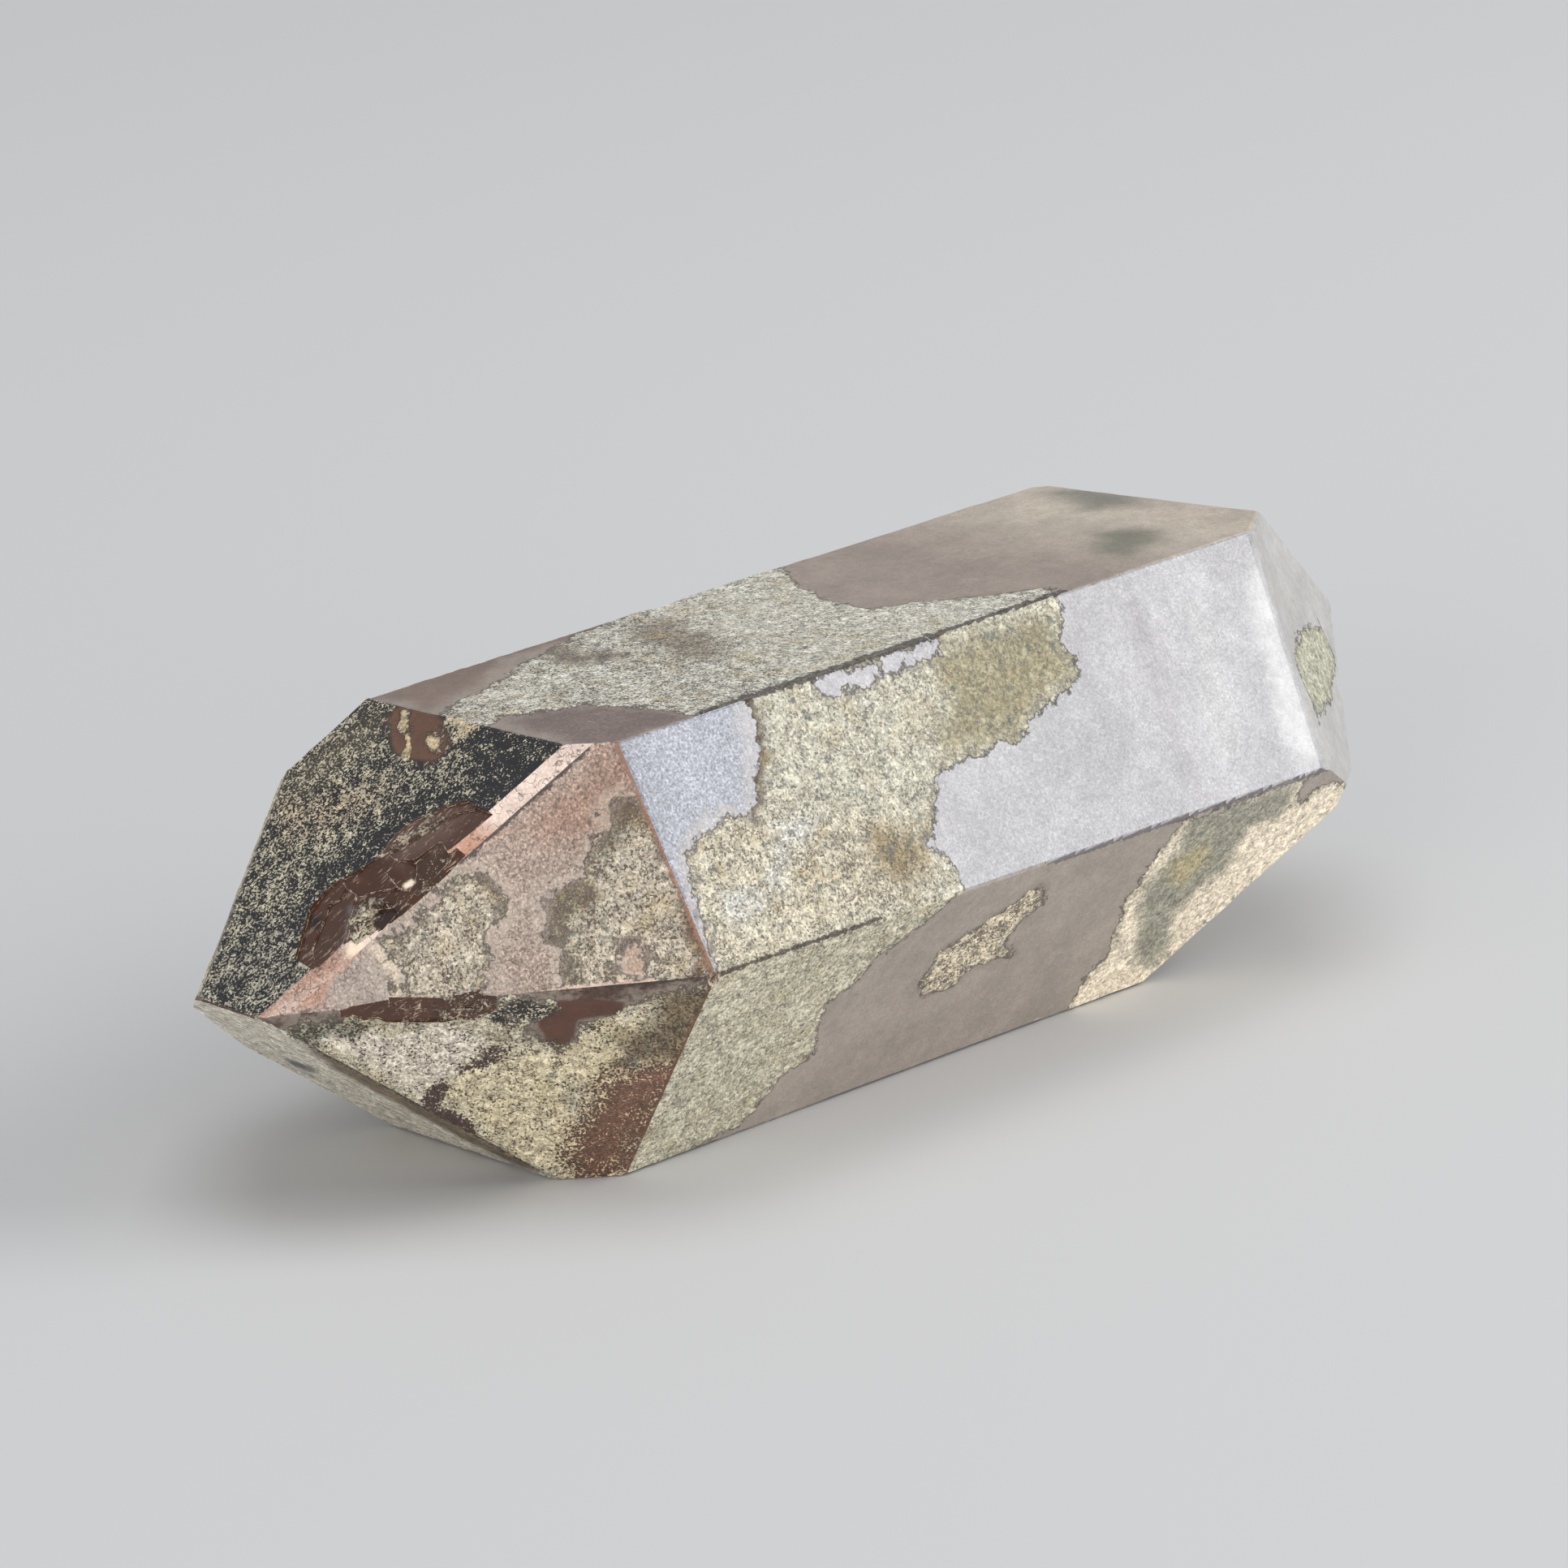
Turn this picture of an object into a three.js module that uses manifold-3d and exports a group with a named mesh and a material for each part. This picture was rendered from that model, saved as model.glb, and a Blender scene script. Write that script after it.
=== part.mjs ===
// A smoky quartz crystal with a point at each end, lying on one of its six long faces.
// Millimetres, +Z up. The long axis of the crystal runs along X and its sharper point is at -X.
// The origin is on the surface that the crystal lies on, under the middle of its box.
import * as THREE from 'three';
import { mergeVertices } from 'three/addons/utils/BufferGeometryUtils.js';
import Module from 'manifold-3d';

// A flat face is given by its outward normal and its distance from a point on the long axis.
// turn is the normal's angle round the long axis, 0 for straight up and 90 for towards +Y.
// lean is the normal's angle along the axis, minus towards the near point, all in degrees.
// A quartz prism has its faces 60 degrees apart, and its end faces lean by about 38.2 degrees.
const FACES = {
  // The six long faces.
  top: { turn: 0.7, lean: -0.4, out: 7.87 },
  frontUpper: { turn: -60, lean: 0.1, out: 8.83 },
  frontLower: { turn: -120.3, lean: -0.5, out: 8.5 },
  bottom: { turn: 180, lean: 0, out: 8 },
  rearLower: { turn: 120, lean: 0, out: 8.75 },
  rearUpper: { turn: 60.1, lean: -0.5, out: 8.91 },
  // The six faces of the near point, which meet in a short blade.
  nearTop: { turn: -0.2, lean: -38.1, out: 9.1 },
  nearFrontUpper: { turn: -59.9, lean: -38.6, out: 9.01 },
  nearFrontLower: { turn: -119.3, lean: -37.1, out: 8.87 },
  nearBottom: { turn: 179.3, lean: -38.8, out: 9.68 },
  nearRearLower: { turn: 120, lean: -38.2, out: 13.1 },
  nearRearUpper: { turn: 59.9, lean: -38, out: 11.78 },
  // The five faces of the far end, which is blunt.
  farTop: { turn: 9.6, lean: 40.8, out: 26.37 },
  farFrontUpper: { turn: -65.1, lean: 32.2, out: 22.7 },
  farBottom: { turn: 180, lean: 38.2, out: 20.44 },
  farRearLower: { turn: 120, lean: 38.2, out: 24 },
  farRearUpper: { turn: 60, lean: 38.2, out: 25.21 },
};

// Worn or bruised edges and corners: the faces that meet there, how much of the corner is gone, and
// the share of each face's normal where the cut does not lie evenly between them.
const BEVELS = [
  [['nearTop', 'nearFrontUpper'], 0.076, [0.18, 0.82]],
  [['nearFrontUpper', 'nearFrontLower'], 0.05],
  [['nearTop', 'nearBottom'], 0.06],
  [['nearFrontLower', 'nearBottom'], 0.09],
  [['nearFrontUpper', 'frontUpper'], 0.035],
  [['nearFrontLower', 'frontLower'], 0.03],
  [['nearTop', 'top'], 0.03],
  [['nearTop', 'rearUpper'], 0.04],
  [['nearTop', 'nearRearUpper'], 0.08],
  [['nearRearUpper', 'rearUpper'], 0.04],
  [['nearBottom', 'bottom'], 0.05],
  [['nearBottom', 'rearLower'], 0.18],
  [['nearBottom', 'nearRearLower'], 0.1],
  [['top', 'frontUpper'], 0.05],
  [['frontUpper', 'frontLower'], 0.05],
  [['frontLower', 'bottom'], 0.06],
  [['bottom', 'rearLower'], 0.06],
  [['rearLower', 'rearUpper'], 0.06],
  [['rearUpper', 'top'], 0.06],
  [['top', 'farTop'], 0.16],
  [['frontUpper', 'farFrontUpper'], 0.1],
  [['top', 'farFrontUpper'], 0.12],
  [['farTop', 'farFrontUpper'], 0.22],
  [['frontLower', 'farBottom'], 0.16],
  [['farBottom', 'farFrontUpper'], 0.14],
  [['farTop', 'farBottom'], 0.2],
  [['bottom', 'farBottom'], 0.1],
  [['farTop', 'farRearUpper'], 0.1],
  [['farBottom', 'farRearLower'], 0.1],
  [['frontLower', 'farFrontUpper', 'farBottom'], 0.5],
  [['nearTop', 'nearBottom', 'nearRearUpper'], 0.15],
];

// Places where a ridge between two faces is broken away in steps. Each floor's outline lies on the
// ridge's first face: pairs of millimetres, along the ridge from the point of it at middleX, and
// across the face from the ridge. deep is how far the middle of the floor lies below the face.
// dip is how steeply the floor falls to the ridge, and pitch how steeply it falls along it, in degrees.
const BREAKS = [
  {
    ridge: ['nearTop', 'nearFrontUpper'],
    middleX: -7.5,
    floors: [
      {
        outline: [
          [-7.9, 1.2], [-7.2, 1.9], [-6.5, 2.6], [-5.6, 2.8], [-4.9, 2.7], [-5, 2.3], [-5.4, 2],
          [-5.9, 2.2], [-6.3, 1.8], [-7.1, 1.2], [-7.3, 1], [-7.6, 0.1], [-7.7, -0.25],
        ],
        deep: 0.1, dip: -2, pitch: -2,
      },
      {
        outline: [
          [-7.3, 1], [-7.1, 1.2], [-6.3, 1.8], [-5.9, 2.2], [-5.4, 2], [-5, 2.3], [-4.9, 1.6],
          [-5.5, 1.1], [-6, 0.46], [-6.4, 0.05], [-6.5, -0.25], [-7.7, -0.25],
        ],
        deep: 0.12, dip: -4, pitch: -3,
      },
      {
        outline: [
          [-4.9, 1.6], [-4.1, 0.86], [-3.7, 0.49], [-4.3, 0.06], [-4.9, 0.7], [-5.2, 0.23], [-5, -0.9],
          [-6, -0.9], [-6.1, 0], [-6.4, 0.05], [-6, 0.46], [-5.5, 1.1],
        ],
        deep: 0.28, dip: 5, pitch: 3,
      },
      {
        outline: [
          [-4.9, 0.7], [-4.3, 0.06], [-3.7, 0.49], [-3.5, 0.14], [-3.2, -0.9], [-5, -0.9], [-5.2, 0.23],
        ],
        deep: 0.35, dip: 4, pitch: -2,
      },
      {
        outline: [
          [-4.9, 2.7], [-4.2, 2.4], [-3.4, 2.2], [-3.1, 2.1], [-3.1, 1.6], [-3.7, 1.5], [-3.7, 0.49],
          [-4.1, 0.86], [-4.9, 1.6], [-5, 2.3],
        ],
        deep: 0.14, dip: 4, pitch: -3,
      },
      {
        outline: [
          [-3.4, 2.2], [-2.9, 2.5], [-2, 2.6], [-1.2, 2.2], [-0.6, 1.9], [0, 1.4], [0.1, 0.75],
          [-0.5, 1.4], [-1.3, 1.7], [-2.8, 2], [-3.1, 2.1],
        ],
        deep: 0.1, dip: 3, pitch: 1,
      },
      {
        outline: [
          [-2.8, 2], [-1.3, 1.7], [-0.5, 1.4], [0.1, 0.75], [0.3, 0], [0.3, -0.25], [-1.1, -0.25],
          [-1.7, 0.05], [-1.6, 0.78], [-2.7, 0.93], [-3.1, 1.6], [-3.1, 2.1],
        ],
        deep: 0.15, dip: -5, pitch: 3,
      },
      {
        outline: [
          [-2.7, 0.93], [-1.6, 0.78], [-1.7, 0.05], [-1, -0.9], [-3.2, -0.9], [-3.5, 0.14], [-3, 0.49],
        ],
        deep: 0.31, dip: 5, pitch: -3,
      },
      {
        outline: [
          [-3.7, 1.5], [-3.1, 1.6], [-2.7, 0.93], [-3, 0.49], [-3.5, 0.14], [-3.7, 0.49],
        ],
        deep: 0.26, dip: 9, pitch: 7,
      },
      {
        outline: [
          [-5.7, -0.9], [-5, -0.13], [-3.6, -0.06], [-2.3, -0.06], [-1.4, -0.04], [-1.2, -0.9],
        ],
        deep: 0.42, dip: 24, pitch: 0,
      },
    ],
  },
  {
    ridge: ['nearFrontLower', 'nearFrontUpper'],
    middleX: -10,
    floors: [
      {
        outline: [
          [-4, -0.5], [-2.3, -0.5], [-2.3, 0.1], [-1.8, 0.34], [-2, 0.77], [-2.5, 0.72], [-2.8, 0.5],
          [-3.2, 0.53], [-3.6, 0.3], [-4, 0.33],
        ],
        deep: 0.1, dip: 6, pitch: 3,
      },
      {
        outline: [
          [-2.3, -0.5], [-0.4, -0.5], [-0.4, 0.38], [-0.7, 0.48], [-1.1, 0.38], [-1.8, 0.34],
          [-2.3, 0.1],
        ],
        deep: 0.14, dip: 4, pitch: -4,
      },
      {
        outline: [
          [-1.8, 0.34], [-1.1, 0.38], [-0.7, 0.48], [-0.4, 0.7], [-0.6, 0.95], [-2, 0.77],
        ],
        deep: 0.13, dip: 5, pitch: 4,
      },
      {
        outline: [
          [-0.4, -0.5], [0.7, -0.5], [0.9, 0.1], [0.7, 0.53], [0.2, 0.4], [-0.3, 0.44], [-0.4, 0.38],
        ],
        deep: 0.13, dip: 5, pitch: 5,
      },
      {
        outline: [
          [-0.4, 0.38], [-0.3, 0.44], [0.8, 0.53], [0.9, -0.5], [1.3, -0.5], [1.3, 0.54], [0.6, 1],
          [0, 0.88], [-0.6, 0.95], [-0.4, 0.7],
        ],
        deep: 0.08, dip: 4, pitch: -3,
      },
    ],
  },
];
// The radius of the bowl that makes a floor slightly hollow, and the mesh steps round it and from
// pole to pole.
const BOWL_RADIUS = 45;
const BOWL_STEPS = [24, 140];
// Each outline is made this much larger, so that no thin fin is left between two floors.
const OUTLINE_GROWTH = 1.03;
// How far below and above the face the walls of a broken place are cut.
const WALL_REACH = [-2, 4];

// Shell-shaped flake scars. at is the middle of the scar, x along the long axis and y and z from it.
// facing is a mix of face normals, ridge the two faces whose edge gives the long way, and run the
// turn in degrees of the long way from that edge. size is the length, width and depth.
const FLAKES = [
  {
    at: [30.3, -7.1, 4.0],
    facing: { farFrontUpper: 1 },
    ridge: ['frontUpper', 'farFrontUpper'],
    run: 0,
    size: [8.2, 5.6, 0.55],
  },
  {
    at: [31.9, -8.3, 0.6],
    facing: { farFrontUpper: 1, farBottom: 1 },
    ridge: ['farFrontUpper', 'farBottom'],
    run: 0,
    size: [2.2, 1.8, 0.4],
  },
  {
    at: [-3.4, -9.95, 0.35],
    facing: { frontLower: 1, nearFrontLower: 1 },
    ridge: ['nearFrontLower', 'frontLower'],
    run: 0,
    size: [0.9, 0.6, 0.12],
  },
  {
    at: [9.5, 5.75, 7.9],
    facing: { rearUpper: 1, top: 1 },
    ridge: ['top', 'rearUpper'],
    run: 0,
    size: [2.4, 0.9, 0.18],
  },
  {
    at: [18, 9.85, 1.25],
    facing: { rearUpper: 1, rearLower: 1 },
    ridge: ['rearUpper', 'rearLower'],
    run: 0,
    size: [3.4, 1.3, 0.3],
  },
  {
    at: [22, 7.5, -6.2],
    facing: { rearLower: 1, farRearLower: 1 },
    ridge: ['rearLower', 'farRearLower'],
    run: 20,
    size: [2.6, 1.8, 0.35],
  },
  {
    at: [36.9, 1.2, 3.6],
    facing: { farTop: 1, farBottom: 1 },
    ridge: ['farTop', 'farBottom'],
    run: 0,
    size: [2.6, 1.0, 0.25],
  },
];

// The share of a flake ellipsoid's depth that sinks into the crystal.
const SUNK_SHARE = 0.3;
// Ripples that spread over a scar from its end: how many round the ellipsoid, and their height as a
// share of it.
const RIPPLE_WAVES = 21;
const RIPPLE_SHARE = 0.006;
// Mesh steps round and from pole to pole of a flake ellipsoid: wide scars get the finer mesh.
const WIDE_SCAR = 2.5;
const FINE_STEPS = [56, 40];
const COARSE_STEPS = [28, 20];
// The rough block that the faces are cut from, and the blocks that cut them.
const BLOCK = { size: [70, 40, 40], middle: [12, 0, 0] };
const CUTTER_SIZE = 160;

const wasm = await Module();
wasm.setup();

// A closed geometry as a solid that can be cut.
function solidOf(geometry) {
  const bare = geometry.clone();
  bare.deleteAttribute('normal');
  bare.deleteAttribute('uv');
  const merged = mergeVertices(bare, 1e-4);
  return new wasm.Manifold(
    new wasm.Mesh({
      numProp: 3,
      vertProperties: new Float32Array(merged.getAttribute('position').array),
      triVerts: new Uint32Array(merged.index.array),
    }),
  );
}

// A cut solid as a geometry again, with flat shading.
function geometryOf(solid) {
  const mesh = solid.getMesh();
  const geometry = new THREE.BufferGeometry();
  geometry.setAttribute('position', new THREE.BufferAttribute(mesh.vertProperties, 3));
  geometry.setIndex(new THREE.BufferAttribute(mesh.triVerts, 1));
  geometry.computeVertexNormals();
  return geometry;
}

// The outward normal of a face, from its turn and lean.
function normalOf({ turn, lean }) {
  const t = THREE.MathUtils.degToRad(turn);
  const l = THREE.MathUtils.degToRad(lean);
  return new THREE.Vector3(Math.sin(l), Math.sin(t) * Math.cos(l), Math.cos(t) * Math.cos(l));
}

// Everything outside a plane with that normal, at that distance from the origin.
function outside(normal, distance) {
  const cutter = new THREE.BoxGeometry(CUTTER_SIZE, CUTTER_SIZE, CUTTER_SIZE);
  const upright = new THREE.Vector3(0, 0, 1);
  cutter.translate(0, 0, CUTTER_SIZE / 2 + distance);
  cutter.applyQuaternion(new THREE.Quaternion().setFromUnitVectors(upright, normal));
  return solidOf(cutter);
}

// The plane that cuts an edge or a corner square across, a depth below the line or point where the
// faces meet.
function bevel(names, depth, shares = [1, 1, 1]) {
  const normals = names.map((name) => normalOf(FACES[name]));
  const sum = new THREE.Vector3();
  normals.forEach((normal, i) => sum.addScaledVector(normal, shares[i]));
  let reach;
  if (names.length === 2) {
    reach = (FACES[names[0]].out * shares[0] + FACES[names[1]].out * shares[1]) / sum.length();
  } else {
    const rows = new THREE.Matrix3().set(...normals.flatMap((n) => n.toArray())).invert();
    const corner = new THREE.Vector3(...names.map((name) => FACES[name].out)).applyMatrix3(rows);
    reach = corner.dot(sum) / sum.length();
  }
  return outside(sum.normalize(), reach - depth);
}

// One floor of a broken ridge: its outline cut straight down into the face, as deep as a shallow
// tilted bowl.
function brokenFloor({ ridge, middleX }, { outline, deep, dip, pitch }) {
  const [face, other] = ridge.map((name) => normalOf(FACES[name]));
  const along = face.clone().cross(other).normalize();
  if (along.x < 0) along.negate();
  const sideways = face.clone().cross(along);
  const side = -Math.sign(sideways.dot(other));
  const rows = new THREE.Matrix3().set(...face.toArray(), ...other.toArray(), 1, 0, 0).invert();
  const middle = new THREE.Vector3(FACES[ridge[0]].out, FACES[ridge[1]].out, middleX).applyMatrix3(rows);

  const points = outline.map(([s, t]) => new THREE.Vector2(s, side * t));
  const heart = points.reduce((a, b) => a.clone().add(b)).divideScalar(points.length);
  for (const point of points) point.sub(heart).multiplyScalar(OUTLINE_GROWTH).add(heart);
  const [low, high] = WALL_REACH;
  const shape = new THREE.Shape(points);
  const walls = new THREE.ExtrudeGeometry(shape, { depth: high - low, bevelEnabled: false });
  walls.translate(0, 0, low);
  const place = new THREE.Matrix4().makeBasis(along, sideways, face).setPosition(middle);
  walls.applyMatrix4(place);

  const lowest = new THREE.Vector3(heart.x, heart.y, -deep).applyMatrix4(place);
  const tilted = face.clone();
  tilted.addScaledVector(sideways, -side * Math.tan(THREE.MathUtils.degToRad(dip)));
  tilted.addScaledVector(along, Math.tan(THREE.MathUtils.degToRad(pitch)));
  tilted.normalize();
  const bowl = new THREE.SphereGeometry(BOWL_RADIUS, ...BOWL_STEPS);
  bowl.applyQuaternion(new THREE.Quaternion().setFromUnitVectors(new THREE.Vector3(0, 1, 0), tilted));
  bowl.translate(...lowest.addScaledVector(tilted, BOWL_RADIUS).toArray());
  return solidOf(walls).intersect(solidOf(bowl));
}

// An ellipsoid that scoops a flake scar out of the surface, with fine ripples spreading from one end of it.
function flake({ at, facing, ridge, run, size }) {
  const out = new THREE.Vector3();
  for (const [name, share] of Object.entries(facing)) out.addScaledVector(normalOf(FACES[name]), share);
  out.normalize();
  const along = normalOf(FACES[ridge[0]]).cross(normalOf(FACES[ridge[1]]));
  along.addScaledVector(out, -along.dot(out)).normalize();
  along.applyAxisAngle(out, THREE.MathUtils.degToRad(run));
  const across = out.clone().cross(along);

  const rim = Math.sqrt(1 - (1 - SUNK_SHARE) ** 2);
  const [length, width, depth] = size;
  const half = new THREE.Vector3(length / 2 / rim, width / 2 / rim, depth / SUNK_SHARE);
  const steps = width > WIDE_SCAR ? FINE_STEPS : COARSE_STEPS;
  const shape = new THREE.SphereGeometry(1, ...steps);
  shape.rotateX(Math.PI / 2);
  const points = shape.getAttribute('position');
  const strike = new THREE.Vector3(1, 0, -1).normalize();
  const point = new THREE.Vector3();
  for (let i = 0; i < points.count; i++) {
    point.fromBufferAttribute(points, i).normalize();
    const swell = 1 + RIPPLE_SHARE * Math.sin(RIPPLE_WAVES * point.angleTo(strike));
    point.multiplyScalar(swell).multiply(half);
    points.setXYZ(i, point.x, point.y, point.z);
  }
  const middle = new THREE.Vector3(...at).addScaledVector(out, half.z - depth);
  shape.applyMatrix4(new THREE.Matrix4().makeBasis(along, across, out).setPosition(middle));
  return solidOf(shape);
}

// The whole crystal: a block cut by its flat faces, then bevelled and chipped.
function crystalGeometry() {
  let crystal = solidOf(new THREE.BoxGeometry(...BLOCK.size).translate(...BLOCK.middle));
  for (const face of Object.values(FACES)) crystal = crystal.subtract(outside(normalOf(face), face.out));
  for (const edge of BEVELS) crystal = crystal.subtract(bevel(...edge));
  for (const place of BREAKS) {
    for (const floor of place.floors) crystal = crystal.subtract(brokenFloor(place, floor));
  }
  for (const scar of FLAKES) crystal = crystal.subtract(flake(scar));
  const geometry = geometryOf(crystal);
  geometry.computeBoundingBox();
  const { min, max } = geometry.boundingBox;
  return geometry.translate(-(min.x + max.x) / 2, -(min.y + max.y) / 2, -min.z);
}

const smokyQuartz = new THREE.MeshStandardMaterial({ color: 0x8c7d6b, roughness: 0.45, metalness: 0 });
const crystal = new THREE.Mesh(crystalGeometry(), smokyQuartz);
crystal.name = 'crystal';

const part = new THREE.Group();
part.add(crystal);

export default part;
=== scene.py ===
"""A smoky quartz crystal with a point at each end, partly coated with pale mineral grains."""
import math

import bmesh
import bpy
import numpy as np
from mathutils import Matrix, Vector, noise


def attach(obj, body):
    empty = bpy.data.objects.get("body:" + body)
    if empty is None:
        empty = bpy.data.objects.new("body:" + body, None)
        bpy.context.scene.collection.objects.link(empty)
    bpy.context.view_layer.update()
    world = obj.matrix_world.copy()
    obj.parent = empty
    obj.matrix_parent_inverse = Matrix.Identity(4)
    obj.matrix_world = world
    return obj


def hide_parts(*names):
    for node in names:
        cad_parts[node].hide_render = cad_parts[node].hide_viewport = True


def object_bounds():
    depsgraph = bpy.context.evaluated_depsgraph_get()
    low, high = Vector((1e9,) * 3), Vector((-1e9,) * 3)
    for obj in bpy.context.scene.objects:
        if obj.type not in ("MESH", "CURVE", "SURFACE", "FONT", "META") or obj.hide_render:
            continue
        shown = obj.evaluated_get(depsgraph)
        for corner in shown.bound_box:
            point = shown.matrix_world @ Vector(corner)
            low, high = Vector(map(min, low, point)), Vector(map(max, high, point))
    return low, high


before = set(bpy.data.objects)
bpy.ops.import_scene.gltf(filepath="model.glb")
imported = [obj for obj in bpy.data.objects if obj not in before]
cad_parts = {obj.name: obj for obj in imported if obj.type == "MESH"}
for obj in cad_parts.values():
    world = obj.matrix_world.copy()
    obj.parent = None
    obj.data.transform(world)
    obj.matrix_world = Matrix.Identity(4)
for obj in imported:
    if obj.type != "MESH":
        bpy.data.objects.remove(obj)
cad_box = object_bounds()

MM = 0.001

# The camera: where it stands in millimetres in the frame of the part, how it turns, leans back and rolls in
# degrees, its lens, and the nearest and farthest that it sees, in metres.
CAMERA_AT = (-168.673, -175.443, 85.475)
CAMERA_AZIMUTH = -43.683
CAMERA_ELEVATION = 17.288
CAMERA_ROLL = -2.666
CAMERA_LENS = 160.842
SENSOR = 36
CAMERA_REACH = (0.01, 10)

# The square soft lights: the direction they stand in from the crystal, their distance and width in metres,
# their power in watts and their colour.
WARM_WHITE = (1, 0.97, 0.94)
SOFTBOXES = {
    "key": dict(direction=(0.66, -0.61, 0.5), distance=0.6, size=0.35, power=2.0, colour=(1, 1, 1)),
    "overhead": dict(direction=(0.1, 0.1, 1), distance=0.7, size=0.5, power=1.6, colour=(1, 1, 1)),
    "fill": dict(direction=(-1, -0.4, 0.25), distance=0.8, size=0.4, power=2.4, colour=WARM_WHITE),
    "low": dict(direction=(-0.25, -1, 0.12), distance=0.7, size=0.4, power=1.6, colour=WARM_WHITE),
}
# The height that they look at, in millimetres.
LIT_HEIGHT = 8
WORLD_COLOUR = (0.92, 0.95, 1.0, 1)
WORLD_STRENGTH = 0.42
# The floor's width in metres, and how far it lies below the crystal in millimetres.
FLOOR_SIZE = 4
FLOOR_DEPTH = 0.02
FLOOR_COLOUR = (0.6, 0.6, 0.6, 1)
FLOOR_ROUGHNESS = 0.9

# The crystal's flat faces: the turn of the outward normal round the long axis and its lean along that axis,
# in degrees.
FACES = {
    "top": (0.7, -0.4),
    "frontUpper": (-60, 0.1),
    "frontLower": (-120.3, -0.5),
    "bottom": (180, 0),
    "rearLower": (120, 0),
    "rearUpper": (60.1, -0.5),
    "nearTop": (-0.2, -38.1),
    "nearFrontUpper": (-59.9, -38.6),
    "nearFrontLower": (-119.3, -37.1),
    "nearBottom": (179.3, -38.8),
    "nearRearLower": (120, -38.2),
    "nearRearUpper": (59.9, -38),
    "farTop": (9.6, 40.8),
    "farFrontUpper": (-65.1, 32.2),
    "farBottom": (180, 38.2),
    "farRearLower": (120, 38.2),
    "farRearUpper": (60, 38.2),
}
FACE_NAMES = list(FACES)
# Every triangle has a look: that of its face, or one of two more, for fresh chips and for the bright edge.
LOOK_NAMES = [*FACE_NAMES, "chip", "bright"]
CHIP_LOOK = LOOK_NAMES.index("chip")
BRIGHT_LOOK = LOOK_NAMES.index("bright")
# How far a normal may lie from a face's own, in degrees, and a point from its plane, in millimetres.
FACE_TURN_SLACK = 2.5
FACE_FLATNESS = 0.012
# Broken places further along the crystal than this are old, and look like the faces round them.
FRESH_CHIPS_BELOW_X = -5.0
# The worn edge of the near point: its two faces, the share of each in its normal, how far from them it lies
# in millimetres, and how far a normal may lie from its own, in degrees.
BRIGHT_EDGE = ("nearTop", "nearFrontUpper")
BRIGHT_SHARES = (0.18, 0.82)
BRIGHT_EDGE_DEPTH = 0.6
BRIGHT_TURN_SLACK = 2
# Other worn edges are narrow: how far they lie from their second face in millimetres, and their normal from
# halfway between two faces. Two faces meet in an edge where the cosine between their normals is in a range.
WORN_EDGE_DEPTH = 0.3
WORN_TURN_SLACK = 0.03
EDGE_COSINES = (-0.2, 0.95)

# Cleaning the solid's mesh: points this close are one, in millimetres, and faces this flat, in degrees.
SAME_POINT = 0.0002
SAME_FACE = 0.4
# The new mesh: a grid of cuts, and then every edge longer than a limit is halved, in millimetres. The limit
# is lower on the faces that the photo shows sharply, and lower still on fresh chips.
GRID = 2.0
GRID_START = 0.5
EDGE_LIMIT = 0.55
FINE_EDGE_LIMIT = 0.2
FINE_FACES = ("nearTop", "nearFrontUpper", "nearFrontLower")
CHIP_EDGE_LIMIT = 0.12
# After the cuts, points closer than this are made one, and triangles thinner than this are taken out.
WELD = 0.015
THIN = 0.005
# Edges that turn more than this, in degrees, are shaded sharp.
SHARP_ANGLE = 7

# The smooth noise that shapes the coat: how fast its layers fade, how much finer each is, and how many.
NOISE_LAYERS = (0.8, 2.0, 3)
# Where the coat is scattered: the size of its patches, and the swing and middle of how far inside it a
# point lies.
SCATTER_SIZE = 5.0
SCATTER_SWING = 4.0
SCATTER_MIDDLE = 0.4
# The bends in the outlines of patches: size and swing.
UNEVEN_SIZE = 1.3
UNEVEN_SWING = 0.35
# The strength of a line along an edge at its ends, where it fades over a millimetre.
LINE_END = 0.5
# How far the bare quartz lies below the top of the coat, the width of the slope between them, and the size
# and height of the coat's own lumps.
COAT_THICKNESS = 0.045
COAT_SLOPE = 0.4
COAT_LUMP_SIZE = 0.7
COAT_LUMPS = 0.035
# The fresh chips have fine steps along this direction, and curved ripples: the height of the ripples, the
# distance between them, and the blow that they spread from.
CHIP_GRAIN = (0.7383, -0.347, 0.5784)
RIPPLE_HEIGHT = 0.012
RIPPLE_STEP = 0.42
BLOW_AT = (-17.2, -3.4, 12.6)

# The material's noise textures, per millimetre: scale, detail, roughness and shift.
TEXTURES = {
    "wide": (1.1, 3, 0.6),
    "ragged": (4.5, 3, 0.6, (7, 3, 1)),
    "fine": (11, 2, 0.6, (2, 9, 4)),
    "clumps": (2.1, 4, 0.65, (5, 5, 5)),
    "frost": (11, 2, 0.6),
    "warm": (0.9, 3, 0.6, (3, 3, 8)),
    "white": (1.0, 4, 0.7, (9, 1, 2)),
    "cracks": (3.2, 3, 0.65, (6, 4, 1)),
    "specks": (2.6, 3, 0.6, (1, 8, 8)),
    "clouds": (0.45, 4, 0.6, (4, 2, 6)),
    "veins": (1.5, 3, 0.6, (2, 2, 7)),
}
CELL_SCALE = 10.0
# The steps of a fresh chip: their noise, and the share of their way along the grain that is taken off.
STEPS = (3.2, 3, 0.6)
STEPS_STRETCH = 0.85
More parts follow.
